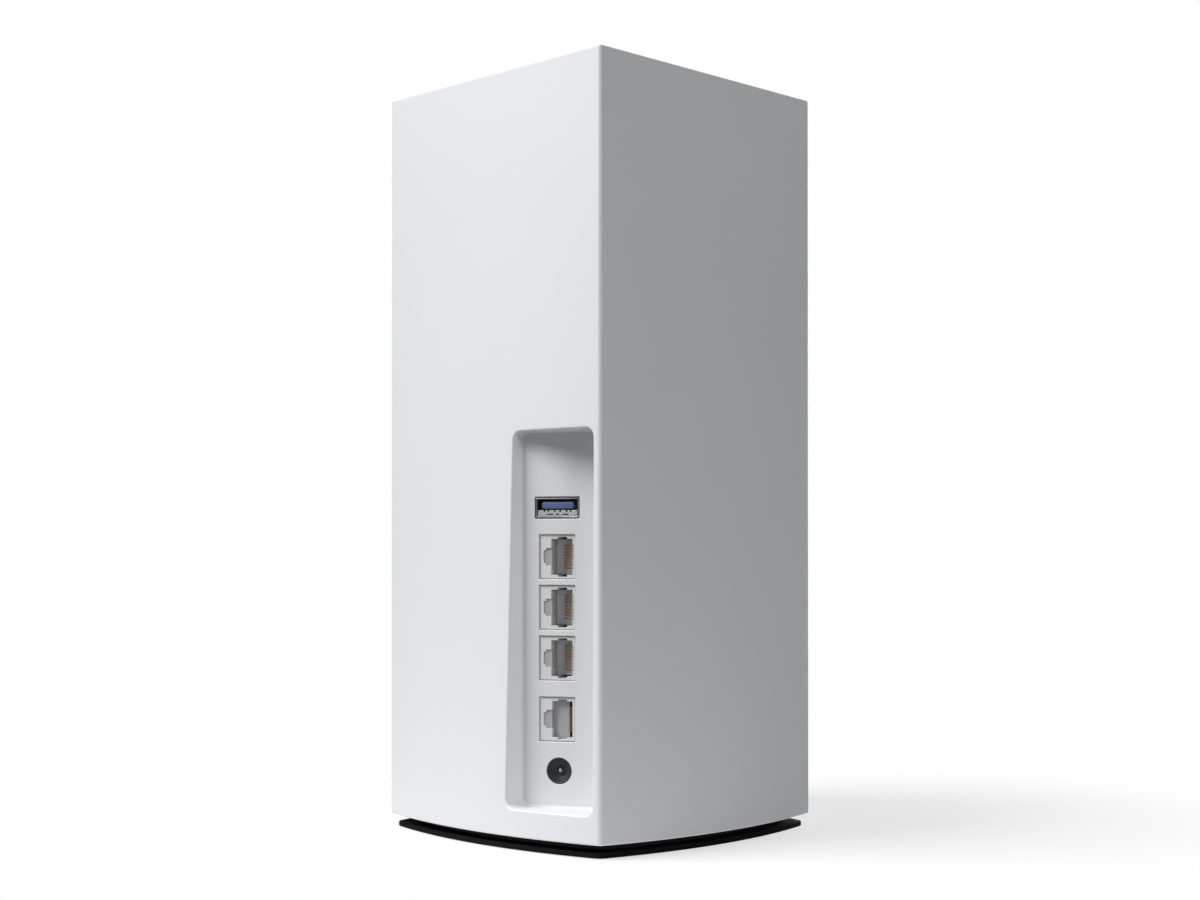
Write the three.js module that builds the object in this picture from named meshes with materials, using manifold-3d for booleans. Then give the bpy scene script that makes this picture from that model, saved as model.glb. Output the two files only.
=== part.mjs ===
// Tower mesh Wi-Fi node, built as an assembly of separate pieces.
// Millimetres, +Z up. The origin is the centre of the footprint on the table, +Y is the rear face
// with the port bay, and -Y is the front. Each face is a ruled surface: straight along the top
// edge and bowed out along the bottom edge.
import * as THREE from 'three';
import { mergeVertices } from 'three/addons/utils/BufferGeometryUtils.js';
import Module from 'manifold-3d';

const wasm = await Module();
wasm.setup();

// ---- driving dimensions -------------------------------------------------------------------
const towerHeight = 243.8;
const towerChord = 99.6; // one face, corner to corner
const lowerBulge = 7.2; // how far a face bows out at the shell's lower edge
const cornerRadius = 1.1;
const shellBottom = 4.2;
const shellWall = 2.2;
const gap = 0.3; // clearance kept between mating pieces

const footChord = 96.4;
const footHeight = 1.6;
const plinthChord = 88.2;
const plinthBottom = 1.8;
const trayFloorTop = 4.0;
const trayTop = 6.5;
const wellChord = 80; // the open well inside the foot and the tray's rim

const bay = { left: -47.2, right: -14.6, bottom: 12.8, top: 129.5, radius: 3, wall: 1.8 };
const panelDepth = 2;
const panelTurn = THREE.MathUtils.degToRad(27); // the port panel's turn away from the rear face
const panelEdge = new THREE.Vector3(bay.right, 49.0, 0); // where the panel meets the bay's side wall

// Heights above the table, and distances along the panel from its edge.
const portLine = 11.5;
const lanHeights = [90.55, 74.8, 59.05];
const wanHeight = 40.1;
const usbHeight = 105.8;
const powerInlet = { along: 12.2, height: 24.1 };
const jackCutout = { width: 11.9, height: 13.9 };
const usbCutout = { width: 14.8, height: 6.8 };
const inletHole = 8.3; // diameter

// In the port frame: x along the panel, y up, z out of the panel.
const board = { x0: 2.4, x1: 4.0, y0: 16, y1: 214, front: -3, back: -95 };
const chassisPlate = { x0: -2.9, x1: -0.9, y0: 16, y1: 198, front: -8, back: -98 };
const chassisFoot = { x0: -9, x1: 8, y0: trayTop + gap, y1: 9.8, front: -42, back: -84 };
const carrier = { bottom: 218, top: 220, half: 46, inner: 33 };
const boardScrewSpots = [[26, -88], [26, -58], [204, -88], [204, -14]]; // y, z

const coverTop = towerHeight - 0.5;
const coverBottom = towerHeight - 3.1;
const cavityChord = towerChord - 2 * shellWall;
const lightPipeRadius = 2.5;

const baseScrewReach = 36;
const chassisScrewSpots = [[5, -48], [5, -78]]; // x, z in the port frame
const rocker = { x: 6, y: 27, pivot: 6.2, tilt: THREE.MathUtils.degToRad(7) };
const pairButton = { x: 22, y: 27, radius: 4.5 };
const resetButton = { x: 34, y: 27, radius: 1.5 };
const switchBoard = { bottom: 12.3, top: 13.9 };

// ---- finishes -----------------------------------------------------------------------------
const finishes = {
  whiteShell: { color: 0xe9eaec, roughness: 0.5, metalness: 0 },
  blackPlastic: { color: 0x1b1b1c, roughness: 0.5, metalness: 0 },
  rubber: { color: 0x141414, roughness: 0.85, metalness: 0 },
  jackPlastic: { color: 0xdcdcdc, roughness: 0.45, metalness: 0 },
  gold: { color: 0xb98f4a, roughness: 0.3, metalness: 1 },
  nickel: { color: 0xb9bbbd, roughness: 0.3, metalness: 1 },
  usbBlue: { color: 0x4a5f9a, roughness: 0.4, metalness: 0 },
  steel: { color: 0x8d9093, roughness: 0.35, metalness: 1 },
  aluminium: { color: 0xb4b7ba, roughness: 0.45, metalness: 1 },
  circuitBoard: { color: 0x1f5136, roughness: 0.45, metalness: 0 },
  chip: { color: 0x232427, roughness: 0.6, metalness: 0 },
  thermalPad: { color: 0x8fa5b5, roughness: 0.9, metalness: 0 },
  clear: { color: 0xf4f6f8, roughness: 0.15, metalness: 0 },
  label: { color: 0xd9dadb, roughness: 0.6, metalness: 0 },
  greyPlastic: { color: 0x5b5d60, roughness: 0.6, metalness: 0 },
};

// ---- solids -------------------------------------------------------------------------------
function toSolid(geometry) {
  const bare = geometry.clone();
  bare.deleteAttribute('normal');
  bare.deleteAttribute('uv');
  const welded = mergeVertices(bare, 1e-4);
  return new wasm.Manifold(new wasm.Mesh({
    numProp: 3,
    vertProperties: new Float32Array(welded.attributes.position.array),
    triVerts: new Uint32Array(welded.index.array),
  }));
}

function toGeometry(solid) {
  const { vertProperties, triVerts } = solid.getMesh();
  const geometry = new THREE.BufferGeometry();
  geometry.setAttribute('position', new THREE.BufferAttribute(vertProperties, 3));
  geometry.setIndex(new THREE.BufferAttribute(triVerts, 1));
  return geometry;
}

const join = (...pieces) => toGeometry(pieces.map(toSolid).reduce((sum, piece) => sum.add(piece)));
const cut = (piece, ...tools) => toGeometry(
  tools.map(toSolid).reduce((rest, tool) => rest.subtract(tool), toSolid(piece)),
);
const common = (...pieces) => toGeometry(
  pieces.map(toSolid).reduce((shared, piece) => shared.intersect(piece)),
);

// A box given by its limits along each axis.
function block([x0, x1], [y0, y1], [z0, z1]) {
  return new THREE.BoxGeometry(x1 - x0, y1 - y0, z1 - z0)
    .translate((x0 + x1) / 2, (y0 + y1) / 2, (z0 + z1) / 2);
}

// An upright round rod.
function rod(radius, [z0, z1], x = 0, y = 0, sides = 16) {
  return new THREE.CylinderGeometry(radius, radius, z1 - z0, sides)
    .rotateX(Math.PI / 2)
    .translate(x, y, (z0 + z1) / 2);
}

function prism(shape, [z0, z1], curveSegments = 2) {
  return new THREE.ExtrudeGeometry(shape, { depth: z1 - z0, bevelEnabled: false, curveSegments })
    .translate(0, 0, z0);
}

// A shape drawn in X and Z, carried along Y.
function prismAlongY(shape, [y0, y1]) {
  return new THREE.ExtrudeGeometry(shape, { depth: y1 - y0, bevelEnabled: false, curveSegments: 2 })
    .rotateX(Math.PI / 2)
    .translate(0, y1, 0);
}

function roundedRectangle([x0, x1], [y0, y1], radius) {
  const shape = new THREE.Shape();
  shape.absarc(x1 - radius, y1 - radius, radius, 0, Math.PI / 2);
  shape.absarc(x0 + radius, y1 - radius, radius, Math.PI / 2, Math.PI);
  shape.absarc(x0 + radius, y0 + radius, radius, Math.PI, 1.5 * Math.PI);
  shape.absarc(x1 - radius, y0 + radius, radius, 1.5 * Math.PI, 2 * Math.PI);
  return shape;
}

// Rows of slots with round ends, centred on a point, running along X.
function slotRows({ x, y, length, width, pitch, rows, z }) {
  return Array.from({ length: rows }, (_, row) => {
    const middle = y + (row - (rows - 1) / 2) * pitch;
    const across = [middle - width / 2, middle + width / 2];
    const outline = roundedRectangle([x - length / 2, x + length / 2], across, width / 2 - 0.01);
    return prism(outline, z, 1);
  });
}

const bulgeAt = (z) => (lowerBulge * (towerHeight - z)) / (towerHeight - shellBottom);

function squareOutline(chord, radius, perSide = 10, perCorner = 3) {
  const half = chord / 2;
  const centre = new THREE.Vector2();
  const points = [];
  for (let side = 0; side < 4; side += 1) {
    const add = (x, y) => {
      points.push(new THREE.Vector2(x, y).rotateAround(centre, (side * Math.PI) / 2));
    };
    for (let step = 0; step <= perSide; step += 1) {
      add(half, (half - radius) * ((2 * step) / perSide - 1));
    }
    for (let step = 1; step < perCorner; step += 1) {
      const turn = ((step / perCorner) * Math.PI) / 2;
      add(half - radius + radius * Math.cos(turn), half - radius + radius * Math.sin(turn));
    }
  }
  return points;
}

// A square prism whose sides bow out as the tower's faces do at each height.
function bowedPrism(chord, radius, [z0, z1]) {
  const geometry = prism(new THREE.Shape(squareOutline(chord, radius)), [z0, z1]);
  const places = geometry.attributes.position;
  for (let i = 0; i < places.count; i += 1) {
    const [x, y, z] = [places.getX(i), places.getY(i), places.getZ(i)];
    const bow = (bulgeAt(z) * chord) / towerChord;
    const outX = Math.sign(x) * bow * (1 - ((2 * y) / chord) ** 2);
    const outY = Math.sign(y) * bow * (1 - ((2 * x) / chord) ** 2);
    places.setXY(i, x + outX, y + outY);
  }
  return geometry;
}

// ---- the scene graph ----------------------------------------------------------------------
const group = new THREE.Group();

// The port frame stands at the panel's edge: x along the panel, y up, z out of its face.
const portFrame = new THREE.Group();
const along = new THREE.Vector3(-Math.cos(panelTurn), -Math.sin(panelTurn), 0);
const outward = new THREE.Vector3(-Math.sin(panelTurn), Math.cos(panelTurn), 0);
const portMatrix = new THREE.Matrix4()
  .makeBasis(along, new THREE.Vector3(0, 0, 1), outward)
  .setPosition(panelEdge);
portMatrix.decompose(portFrame.position, portFrame.quaternion, portFrame.scale);
group.add(portFrame);

const fromPortFrame = (x, y, z) => new THREE.Vector3(x, y, z).applyMatrix4(portMatrix);

function addPiece(parent, name, geometry, finish, place = [0, 0, 0]) {
  const mesh = new THREE.Mesh(geometry, new THREE.MeshStandardMaterial(finishes[finish]));
  mesh.name = name;
  mesh.position.set(...place);
  parent.add(mesh);
  return mesh;
}

// ---- casing -------------------------------------------------------------------------------
function bayPrism(margin, depth) {
  const shape = roundedRectangle(
    [bay.left - margin, bay.right + margin],
    [bay.bottom - margin, bay.top + margin],
    bay.radius + margin,
  );
  return prismAlongY(shape, depth);
}

// Screw posts stand off the shell's corners on diagonal webs.
function screwPosts() {
  const height = [trayTop + gap, 10.7];
  const posts = [];
  for (const [signX, signY] of [[1, 1], [-1, 1], [-1, -1], [1, -1]]) {
    const web = block([-2, 17], [-1.2, 1.2], height)
      .rotateZ(Math.atan2(signY, signX))
      .translate(signX * baseScrewReach, signY * baseScrewReach, 0);
    posts.push(web, rod(3.7, height, signX * baseScrewReach, signY * baseScrewReach));
  }
  return posts;
}

function screwHoles(radius, height) {
  return [[1, 1], [-1, 1], [-1, -1], [1, -1]].map(([signX, signY]) => (
    rod(radius, height, signX * baseScrewReach, signY * baseScrewReach, 12)
  ));
}

function outerShell() {
  const ledge = 3;
  const outside = bowedPrism(towerChord, cornerRadius, [shellBottom, towerHeight]);
  const cavities = [
    bowedPrism(cavityChord, 0.8, [shellBottom - 1, towerHeight - 5.4]),
    bowedPrism(cavityChord - 2 * ledge, 0.8, [towerHeight - 6, towerHeight - 3]),
    bowedPrism(cavityChord, 0.8, [towerHeight - 3.4, towerHeight + 1]),
  ];
  const inFrontOfPanel = block([-30, 70], [-20, 160], [gap, 60]).applyMatrix4(portMatrix);
  const pocket = common(bayPrism(bay.wall, [20, 70]), inFrontOfPanel, outside);
  const fittings = common(join(...screwPosts()), outside);
  const walls = join(cut(outside, ...cavities), pocket, fittings);
  return cut(walls, bayPrism(0, [20, 70]), ...screwHoles(1.5, [0, 20]));
}

function topVentCover() {
  const plate = bowedPrism(cavityChord - 2 * gap, 0.8, [coverBottom, coverTop]);
  const z = [coverBottom - 1, coverTop + 1];
  const row = { length: 15, width: 2.6, pitch: 7, z };
  const outerSlots = [-30, 30].flatMap((x) => slotRows({ ...row, x, y: 0, rows: 11 }));
  const innerSlots = [-10, 10].flatMap((x) => (
    [-21, 21].flatMap((y) => slotRows({ ...row, x, y, rows: 5 }))
  ));
  return cut(plate, ...outerSlots, ...innerSlots, rod(lightPipeRadius + gap, z));
}

// A clear rod that brings the status light up to the top cover.
function lightPipe() {
  const collar = coverBottom - gap;
  const profile = [
    [0, 223.1], [lightPipeRadius, 223.1], [lightPipeRadius, collar - 1.2], [4.2, collar - 1.2],
    [4.2, collar], [lightPipeRadius, collar], [lightPipeRadius, coverTop], [0, coverTop],
  ].map(([r, z]) => new THREE.Vector2(r, z));
  return new THREE.LatheGeometry(profile, 20).rotateX(Math.PI / 2);
}

function portPanel() {
  const plate = block([-2.2, 38.2], [bay.bottom - bay.wall, bay.top + bay.wall], [-panelDepth, 0]);
  const z = [-panelDepth - 1, 1];
  const hole = ({ width, height }, x, y) => block(
    [x - width / 2, x + width / 2],
    [y - height / 2, y + height / 2],
    z,
  );
  return cut(
    plate,
    ...[...lanHeights, wanHeight].map((height) => hole(jackCutout, portLine, height)),
    hole(usbCutout, portLine, usbHeight),
    rod(inletHole / 2, z, powerInlet.along, powerInlet.height, 24),
  );
}

function baseTray() {
  const rim = [4.5, trayTop];
  const chassisHoles = chassisScrewSpots.map(([x, z]) => fromPortFrame(x, 0, z));
  const bosses = [...screwHoles(4, [2, trayTop])];
  const bores = [...screwHoles(1.6, [0, 8]), ...screwHoles(3.1, [0, 3.2])];
  for (const { x, y } of chassisHoles) {
    bosses.push(rod(4, [2, trayTop], x, y));
    bores.push(rod(1.6, [0, 8], x, y, 12), rod(3.1, [0, 3.2], x, y, 16));
  }
  const boardPosts = [[15.5, 22], [28, 32], [38, 21.5]].map(([x, y]) => (
    rod(1.8, [2, switchBoard.bottom - gap], x, y, 12)
  ));
  const dish = cut(
    join(
      bowedPrism(plinthChord, 4, [plinthBottom, trayTop]),
      bowedPrism(cavityChord - 2 * gap, 0.8, rim),
    ),
    bowedPrism(wellChord, 2, [trayFloorTop, trayTop + 1]),
  );
  const z = [0, trayTop];
  return cut(
    join(dish, ...bosses, ...boardPosts),
    ...bores,
    ...slotRows({ x: -21, y: -12, length: 24, width: 2.4, pitch: 5, rows: 9, z }),
    ...slotRows({ x: 30, y: -26, length: 14, width: 2.4, pitch: 5, rows: 4, z }),
    block([rocker.x - 7.3, rocker.x + 7.3], [rocker.y - 4.8, rocker.y + 4.8], z),
    rod(pairButton.radius + gap, z, pairButton.x, pairButton.y, 24),
    rod(resetButton.radius + gap, z, resetButton.x, resetButton.y, 16),
  );
}

function footRing() {
  return cut(
    bowedPrism(footChord, 3, [0, footHeight]),
    bowedPrism(wellChord, 2, [-1, footHeight + 1]),
  );
}

// A pan-head screw with a cross recess, head down, along +Z from its head.
function panScrew(headRadius, headHeight, shankRadius, length) {
  const recess = [0, Math.PI / 2].map((turn) => (
    block([-1.3, 1.3], [-0.3, 0.3], [-1, 0.7 * headHeight]).rotateZ(turn)
  ));
  return cut(
    join(
      rod(headRadius, [0, headHeight], 0, 0, 16),
      rod(shankRadius, [headHeight - 0.1, length], 0, 0, 10),
    ),
    ...recess,
  );
}

addPiece(group, 'outer_shell', outerShell(), 'whiteShell');
addPiece(group, 'top_vent_cover', topVentCover(), 'whiteShell');
addPiece(group, 'status_light_pipe', lightPipe(), 'clear');
addPiece(portFrame, 'port_panel', portPanel(), 'whiteShell');
addPiece(group, 'base_tray', baseTray(), 'blackPlastic');
addPiece(group, 'foot_ring', footRing(), 'rubber');
addPiece(group, 'rating_label', block([7, 37], [-11, 5], [1.5, 1.7]), 'label');

[[1, 1], [-1, 1], [-1, -1], [1, -1]].forEach(([signX, signY], i) => {
  const place = [signX * baseScrewReach, signY * baseScrewReach, 1.9];
  addPiece(group, `base_screw_${i + 1}`, panScrew(2.7, 1.1, 1.2, 7.6), 'steel', place);
});
chassisScrewSpots.forEach(([x, z], i) => {
  const spot = fromPortFrame(x, 0, z);
  const screw = panScrew(2.7, 1.1, 1.2, 7.2);
  addPiece(group, `chassis_screw_${i + 1}`, screw, 'steel', [spot.x, spot.y, 1.9]);
});

// ---- ports, each built around its own centre on the panel ------------------------------------
const jack = { front: -0.6, back: -21.6, cavityBack: -13, boardSide: -7.2, farSide: 6.7 };

// The mouth of an eight-way modular jack: plug space, keyed sides, and the latch's stepped notch.
function jackMouth(latchTop, latchWidth) {
  const deep = [jack.cavityBack, 1];
  return join(
    block([latchTop, 4.9], [-5.6, 5.6], deep),
    block([0.1, 3.1], [-6.2, 6.2], deep),
    block([-3.8, latchTop + 0.1], [-latchWidth / 2, latchWidth / 2], deep),
    block([-4.6, -3.7], [-2, 2], deep),
  );
}

function jackBody(mouth) {
  const halfNose = [jackCutout.width / 2 - gap, jackCutout.height / 2 - gap];
  return cut(
    join(
      block([jack.boardSide, jack.farSide], [-7.7, 7.7], [jack.back, -panelDepth - gap]),
      block([-halfNose[0], halfNose[0]], [-halfNose[1], halfNose[1]], [-5, jack.front]),
    ),
    ...mouth,
  );
}

const contactPitch = 1.02;
const eightWays = Array.from({ length: 8 }, (_, i) => (i - 3.5) * contactPitch);

// Eight slanting spring contacts on one carrier bar, held at the back of the plug space.
function contactComb(frontX, backX) {
  const slope = new THREE.Shape([
    new THREE.Vector2(frontX, -1.4), new THREE.Vector2(frontX - 0.35, -1.4),
    new THREE.Vector2(backX - 0.35, -11.4), new THREE.Vector2(backX, -11.4),
  ]);
  const fingers = eightWays.map((y) => (
    prism(slope, [-0.25, 0.25]).applyMatrix4(new THREE.Matrix4().makeBasis(
      new THREE.Vector3(1, 0, 0),
      new THREE.Vector3(0, 0, 1),
      new THREE.Vector3(0, -1, 0),
    )).translate(0, y, 0)
  ));
  return join(block([backX - 0.6, backX + 0.6], [-4.3, 4.3], [-12.6, -11.2]), ...fingers);
}

const combSlots = eightWays.map((y) => block([4.8, 5.35], [y - 0.27, y + 0.27], [-5, 1]));

lanHeights.forEach((height, i) => {
  const place = [portLine, height, 0];
  const lanJack = jackBody([jackMouth(-2.1, 5.4), ...combSlots]);
  addPiece(portFrame, `lan_jack_${i + 1}`, lanJack, 'jackPlastic', place);
  addPiece(portFrame, `lan_contacts_${i + 1}`, contactComb(4.6, 3.2), 'gold', place);
});
addPiece(portFrame, 'wan_jack', jackBody([jackMouth(-1.8, 5.7)]), 'jackPlastic', [portLine, wanHeight, 0]);
addPiece(portFrame, 'wan_contacts', contactComb(4.6, 3.8), 'gold', [portLine, wanHeight, 0]);

const usb = { halfWidth: 7.1, halfHeight: 3.1, sheet: 0.45, front: -0.3, back: -14 };

// A folded sheet-metal shell, closed at the back.
function usbShell() {
  const { halfWidth, halfHeight, sheet, front, back } = usb;
  return cut(
    block([-halfWidth, halfWidth], [-halfHeight, halfHeight], [back, front]),
    block([sheet - halfWidth, halfWidth - sheet], [sheet - halfHeight, halfHeight - sheet], [-13.5, 1]),
  );
}

// The contact tongue stands out of the insulator block that fills the back of the shell.
function usbTongue() {
  return join(
    block([-6.3, 6.3], [-2.3, 2.3], [-13.2, -9]),
    block([-5.8, 5.8], [-0.2, 2.0], [-9.5, -1.2]),
  );
}

addPiece(portFrame, 'usb_shell', usbShell(), 'nickel', [portLine, usbHeight, 0]);
addPiece(portFrame, 'usb_tongue', usbTongue(), 'usbBlue', [portLine, usbHeight, 0]);

function powerInletHousing() {
  return cut(
    join(
      block([-7.9, 4.6], [-5.2, 5.2], [-15, -panelDepth - gap]),
      rod(inletHole / 2 - gap, [-5, -0.2], 0, 0, 24),
    ),
    rod(3.1, [-10, 1], 0, 0, 24),
  );
}

// A pin with a rounded nose, turned about the inlet's own axis.
function powerInletPin() {
  const nose = new THREE.Path().absarc(0, -2.2, 1, -Math.PI / 2 + 0.0001, Math.PI / 2);
  const arc = nose.getPoints(8).filter(({ x, y }) => x >= 0 && y > -2.2);
  const profile = [new THREE.Vector2(0, -9.7), new THREE.Vector2(1, -9.7), ...arc];
  profile[profile.length - 1].x = 0;
  return new THREE.LatheGeometry(profile, 12).rotateX(Math.PI / 2);
}

const inletPlace = [powerInlet.along, powerInlet.height, 0];
addPiece(portFrame, 'power_inlet_housing', powerInletHousing(), 'blackPlastic', inletPlace);
addPiece(portFrame, 'power_inlet_pin', powerInletPin(), 'nickel', inletPlace);
const leafSpring = block([-0.8, 0.8], [-2.75, -2.45], [-9.4, -2]);
addPiece(portFrame, 'power_inlet_spring', leafSpring, 'nickel', inletPlace);

// ---- electronics, in the port frame -----------------------------------------------------------
function mainBoard() {
  const plate = block([board.x0, board.x1], [board.y0, board.y1], [board.back, board.front]);
  return cut(plate, ...boardScrewSpots.map(([y, z]) => sideRod(1.5, [0, 6], y, z)));
}

// A round rod lying along x.
function sideRod(radius, [x0, x1], y, z, sides = 12) {
  return new THREE.CylinderGeometry(radius, radius, x1 - x0, sides)
    .rotateZ(Math.PI / 2)
    .translate((x0 + x1) / 2, y, z);
}

function chassis() {
  const { x0, x1, y0, y1, front, back } = chassisPlate;
  const thick = [x0, x1];
  const windows = [[34, 92], [108, 188]].map((span) => block([x0 - 1, x1 + 1], span, [-78, -24]));
  const posts = [[-18, -8], [-98, -88]].map((depth) => (
    block(thick, [y1 - 1, carrier.bottom - gap], depth)
  ));
  const standoffs = boardScrewSpots.map(([y, z]) => sideRod(3, [x0, board.x0 - gap], y, z, 16));
  const foot = block(
    [chassisFoot.x0, chassisFoot.x1],
    [chassisFoot.y0, chassisFoot.y1],
    [chassisFoot.back, chassisFoot.front],
  );
  const leg = block(thick, [chassisFoot.y0, y0 + 1], [chassisFoot.back, chassisFoot.front]);
  const footHoles = chassisScrewSpots.map(([x, z]) => (
    rod(1.5, [-12, -5], x, z, 12).applyMatrix4(new THREE.Matrix4().makeBasis(
      new THREE.Vector3(1, 0, 0),
      new THREE.Vector3(0, 0, 1),
      new THREE.Vector3(0, -1, 0),
    ))
  ));
  return cut(
    join(cut(block(thick, [y0, y1], [back, front]), ...windows), ...posts, ...standoffs, foot, leg),
    ...boardScrewSpots.map(([y, z]) => sideRod(1.5, [-5, 4], y, z)),
    ...footHoles,
  );
}

// A heat sink is one extrusion: a base plate with upright fins.
function heatSink([x0, base, x1], [y0, y1], [z0, z1], fins) {
  const thickness = 1.5;
  const pitch = (z1 - z0 - thickness) / (fins - 1);
  const outline = [new THREE.Vector2(x0, z0)];
  for (let i = 0; i < fins; i += 1) {
    const start = z0 + i * pitch;
    if (i > 0) outline.push(new THREE.Vector2(base, start));
    outline.push(new THREE.Vector2(x1, start), new THREE.Vector2(x1, start + thickness));
    if (i < fins - 1) outline.push(new THREE.Vector2(base, start + thickness));
  }
  outline.push(new THREE.Vector2(x0, z1));
  return prismAlongY(new THREE.Shape(outline), [y0, y1]);
}

addPiece(portFrame, 'main_board', mainBoard(), 'circuitBoard');
addPiece(portFrame, 'chassis_frame', chassis(), 'greyPlastic');
boardScrewSpots.forEach(([y, z], i) => {
  const screw = panScrew(2.5, 1.4, 1.15, 6.4).rotateY(-Math.PI / 2).rotateX(Math.PI / 2);
  addPiece(portFrame, `board_screw_${i + 1}`, screw, 'steel', [board.x1 + gap + 1.4, y, z]);
});

const chipBottom = board.x1 + gap;
const chipTop = chipBottom + 1.6;
const padLayer = [chipTop + gap, chipTop + gap + 0.8];
const sinkBottom = padLayer[1] + gap;
addPiece(portFrame, 'processor_chip', block([chipBottom, chipTop], [147, 169], [-69, -47]), 'chip');
addPiece(portFrame, 'radio_chip_1', block([chipBottom, chipTop], [84, 96], [-64, -52]), 'chip');
addPiece(portFrame, 'radio_chip_2', block([chipBottom, chipTop], [60, 72], [-64, -52]), 'chip');
addPiece(portFrame, 'memory_chip', block([chipBottom, chipTop - 0.4], [150, 163], [-22, -12]), 'chip');
addPiece(portFrame, 'processor_pad', block(padLayer, [149, 167], [-67, -49]), 'thermalPad');
addPiece(portFrame, 'radio_pad', block(padLayer, [58, 98], [-65, -51]), 'thermalPad');
const processorSink = heatSink([sinkBottom, sinkBottom + 2.8, 27], [116, 198], [-88, -28], 9);
addPiece(portFrame, 'processor_heat_sink', processorSink, 'aluminium');
const radioSink = heatSink([sinkBottom, sinkBottom + 2.8, 22], [46, 108], [-84, -30], 8);
addPiece(portFrame, 'radio_heat_sink', radioSink, 'aluminium');
const capacitor = sideRod(4, [chipBottom, chipBottom + 11], 28, -28, 16);
addPiece(portFrame, 'filter_capacitor', capacitor, 'chip');

// ---- antennas and status light ------------------------------------------------------------------
function antennaCarrier() {
  const { bottom, top, half, inner } = carrier;
  const opening = (span) => prism(roundedRectangle([-inner, inner], span, 4), [bottom - 1, top + 1]);
  return cut(
    prism(roundedRectangle([-half, half], [-half, half], 2), [bottom, top]),
    opening([7, inner]),
    opening([-inner, -7]),
  );
}

// A lead is a round coaxial cable from a blade antenna to its socket on the board.
function coaxLead(points) {
  const section = new THREE.Shape(Array.from({ length: 6 }, (_, i) => {
    const turn = (i * Math.PI) / 3;
    return new THREE.Vector2(0.7 * Math.cos(turn), 0.7 * Math.sin(turn));
  }));
  const extrudePath = new THREE.CatmullRomCurve3(points);
  return new THREE.ExtrudeGeometry(section, { steps: 10, bevelEnabled: false, extrudePath });
}

const antennaSpan = [181.5, carrier.bottom - gap];
const antennas = [
  { x: [44.4, 45.2], y: [14, 26], lead: [43.2, 20, 205], socket: [1.9, 208, -50] },
  { x: [14, 26], y: [44.4, 45.2], lead: [20, 43.2, 207], socket: [1.9, 205, -28] },
  { x: [-45.2, -44.4], y: [-20, -8], lead: [-43.2, -14, 207], socket: [4.5, 208, -50] },
  { x: [-30, -18], y: [-45.2, -44.4], lead: [-24, -43.2, 206], socket: [4.5, 205, -72] },
];

addPiece(group, 'antenna_carrier', antennaCarrier(), 'greyPlastic');
antennas.forEach(({ x, y, lead, socket }, i) => {
  addPiece(group, `antenna_${i + 1}`, block(x, y, antennaSpan), 'circuitBoard');
  const start = new THREE.Vector3(...lead);
  const end = fromPortFrame(...socket);
  const middle = start.clone().lerp(end, 0.5).add(new THREE.Vector3(0, 0, 2.5));
  addPiece(group, `antenna_lead_${i + 1}`, coaxLead([start, middle, end]), 'blackPlastic');
});
addPiece(group, 'light_board', block([-9, 9], [-6, 6], [carrier.top + gap, 221.3]), 'circuitBoard');
addPiece(group, 'status_light', block([-1.75, 1.75], [-1.75, 1.75], [221.6, 222.8]), 'clear');

// ---- controls under the base ----------------------------------------------------------------------
function rockerSwitchBody() {
  const { x, y, pivot } = rocker;
  return cut(
    block([x - 7, x + 7], [y - 4.5, y + 4.5], [2, 11.9]),
    block([x - 6.2, x + 6.2], [y - 3.6, y + 3.6], [1, 8.9]),
    new THREE.CylinderGeometry(1, 1, 12, 12).translate(x, y, pivot),
  );
}

// The rocker is drawn about its own pivot, with its pressed face down.
function rockerKey() {
  const key = new THREE.Shape();
  key.moveTo(-5.4, -2.9);
  key.lineTo(0, -3.3);
  key.lineTo(5.4, -2.9);
  key.lineTo(5.0, -0.8);
  key.lineTo(2.6, 1.5);
  key.lineTo(-2.6, 1.5);
  key.lineTo(-5.0, -0.8);
  const bore = new THREE.CylinderGeometry(1, 1, 12, 12);
  return cut(prismAlongY(key, [-3.2, 3.2]), bore);
}

// A push button: a cap in the tray's hole, a collar that keeps it in, and a stem to its switch.
function pushButton(capRadius, collarRadius, stemRadius, capBottom) {
  return join(
    rod(capRadius, [capBottom, 4.5], 0, 0, 24),
    rod(collarRadius, [trayFloorTop + gap, 5.3], 0, 0, 24),
    rod(stemRadius, [5.2, 7.0], 0, 0, 12),
  );
}

function tactSwitch() {
  return join(block([-3, 3], [-3, 3], [8.4, 12.0]), rod(1.5, [7.6, 8.5], 0, 0, 12));
}

const tiltedRocker = new THREE.Group();
tiltedRocker.position.set(rocker.x, rocker.y, rocker.pivot);
tiltedRocker.rotation.y = rocker.tilt;
group.add(tiltedRocker);
addPiece(tiltedRocker, 'power_rocker', rockerKey(), 'blackPlastic');
const rockerPin = new THREE.CylinderGeometry(0.7, 0.7, 8.6, 12);
addPiece(group, 'rocker_pin', rockerPin, 'steel', [rocker.x, rocker.y, rocker.pivot]);
addPiece(group, 'power_switch_body', rockerSwitchBody(), 'blackPlastic');
const pairPlace = [pairButton.x, pairButton.y, 0];
const resetPlace = [resetButton.x, resetButton.y, 0];
addPiece(group, 'pair_button', pushButton(pairButton.radius, 5.5, 1.5, 2.0), 'greyPlastic', pairPlace);
addPiece(group, 'pair_switch', tactSwitch(), 'chip', pairPlace);
addPiece(group, 'reset_button', pushButton(resetButton.radius, 2.6, 1.2, 2.6), 'greyPlastic', resetPlace);
addPiece(group, 'reset_switch', tactSwitch(), 'chip', resetPlace);
const switchBoardHeight = [switchBoard.bottom, switchBoard.top];
addPiece(group, 'switch_board', block([-3, 40], [20, 34], switchBoardHeight), 'circuitBoard');

export default group;
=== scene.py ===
"""A white tower mesh Wi-Fi node on a black foot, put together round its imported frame.

Sizes are millimetres in the frame's axes: +Z up, +Y out of the rear face with the ports. The places of
the camera, lamps and floor are metres.
"""
import math

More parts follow.
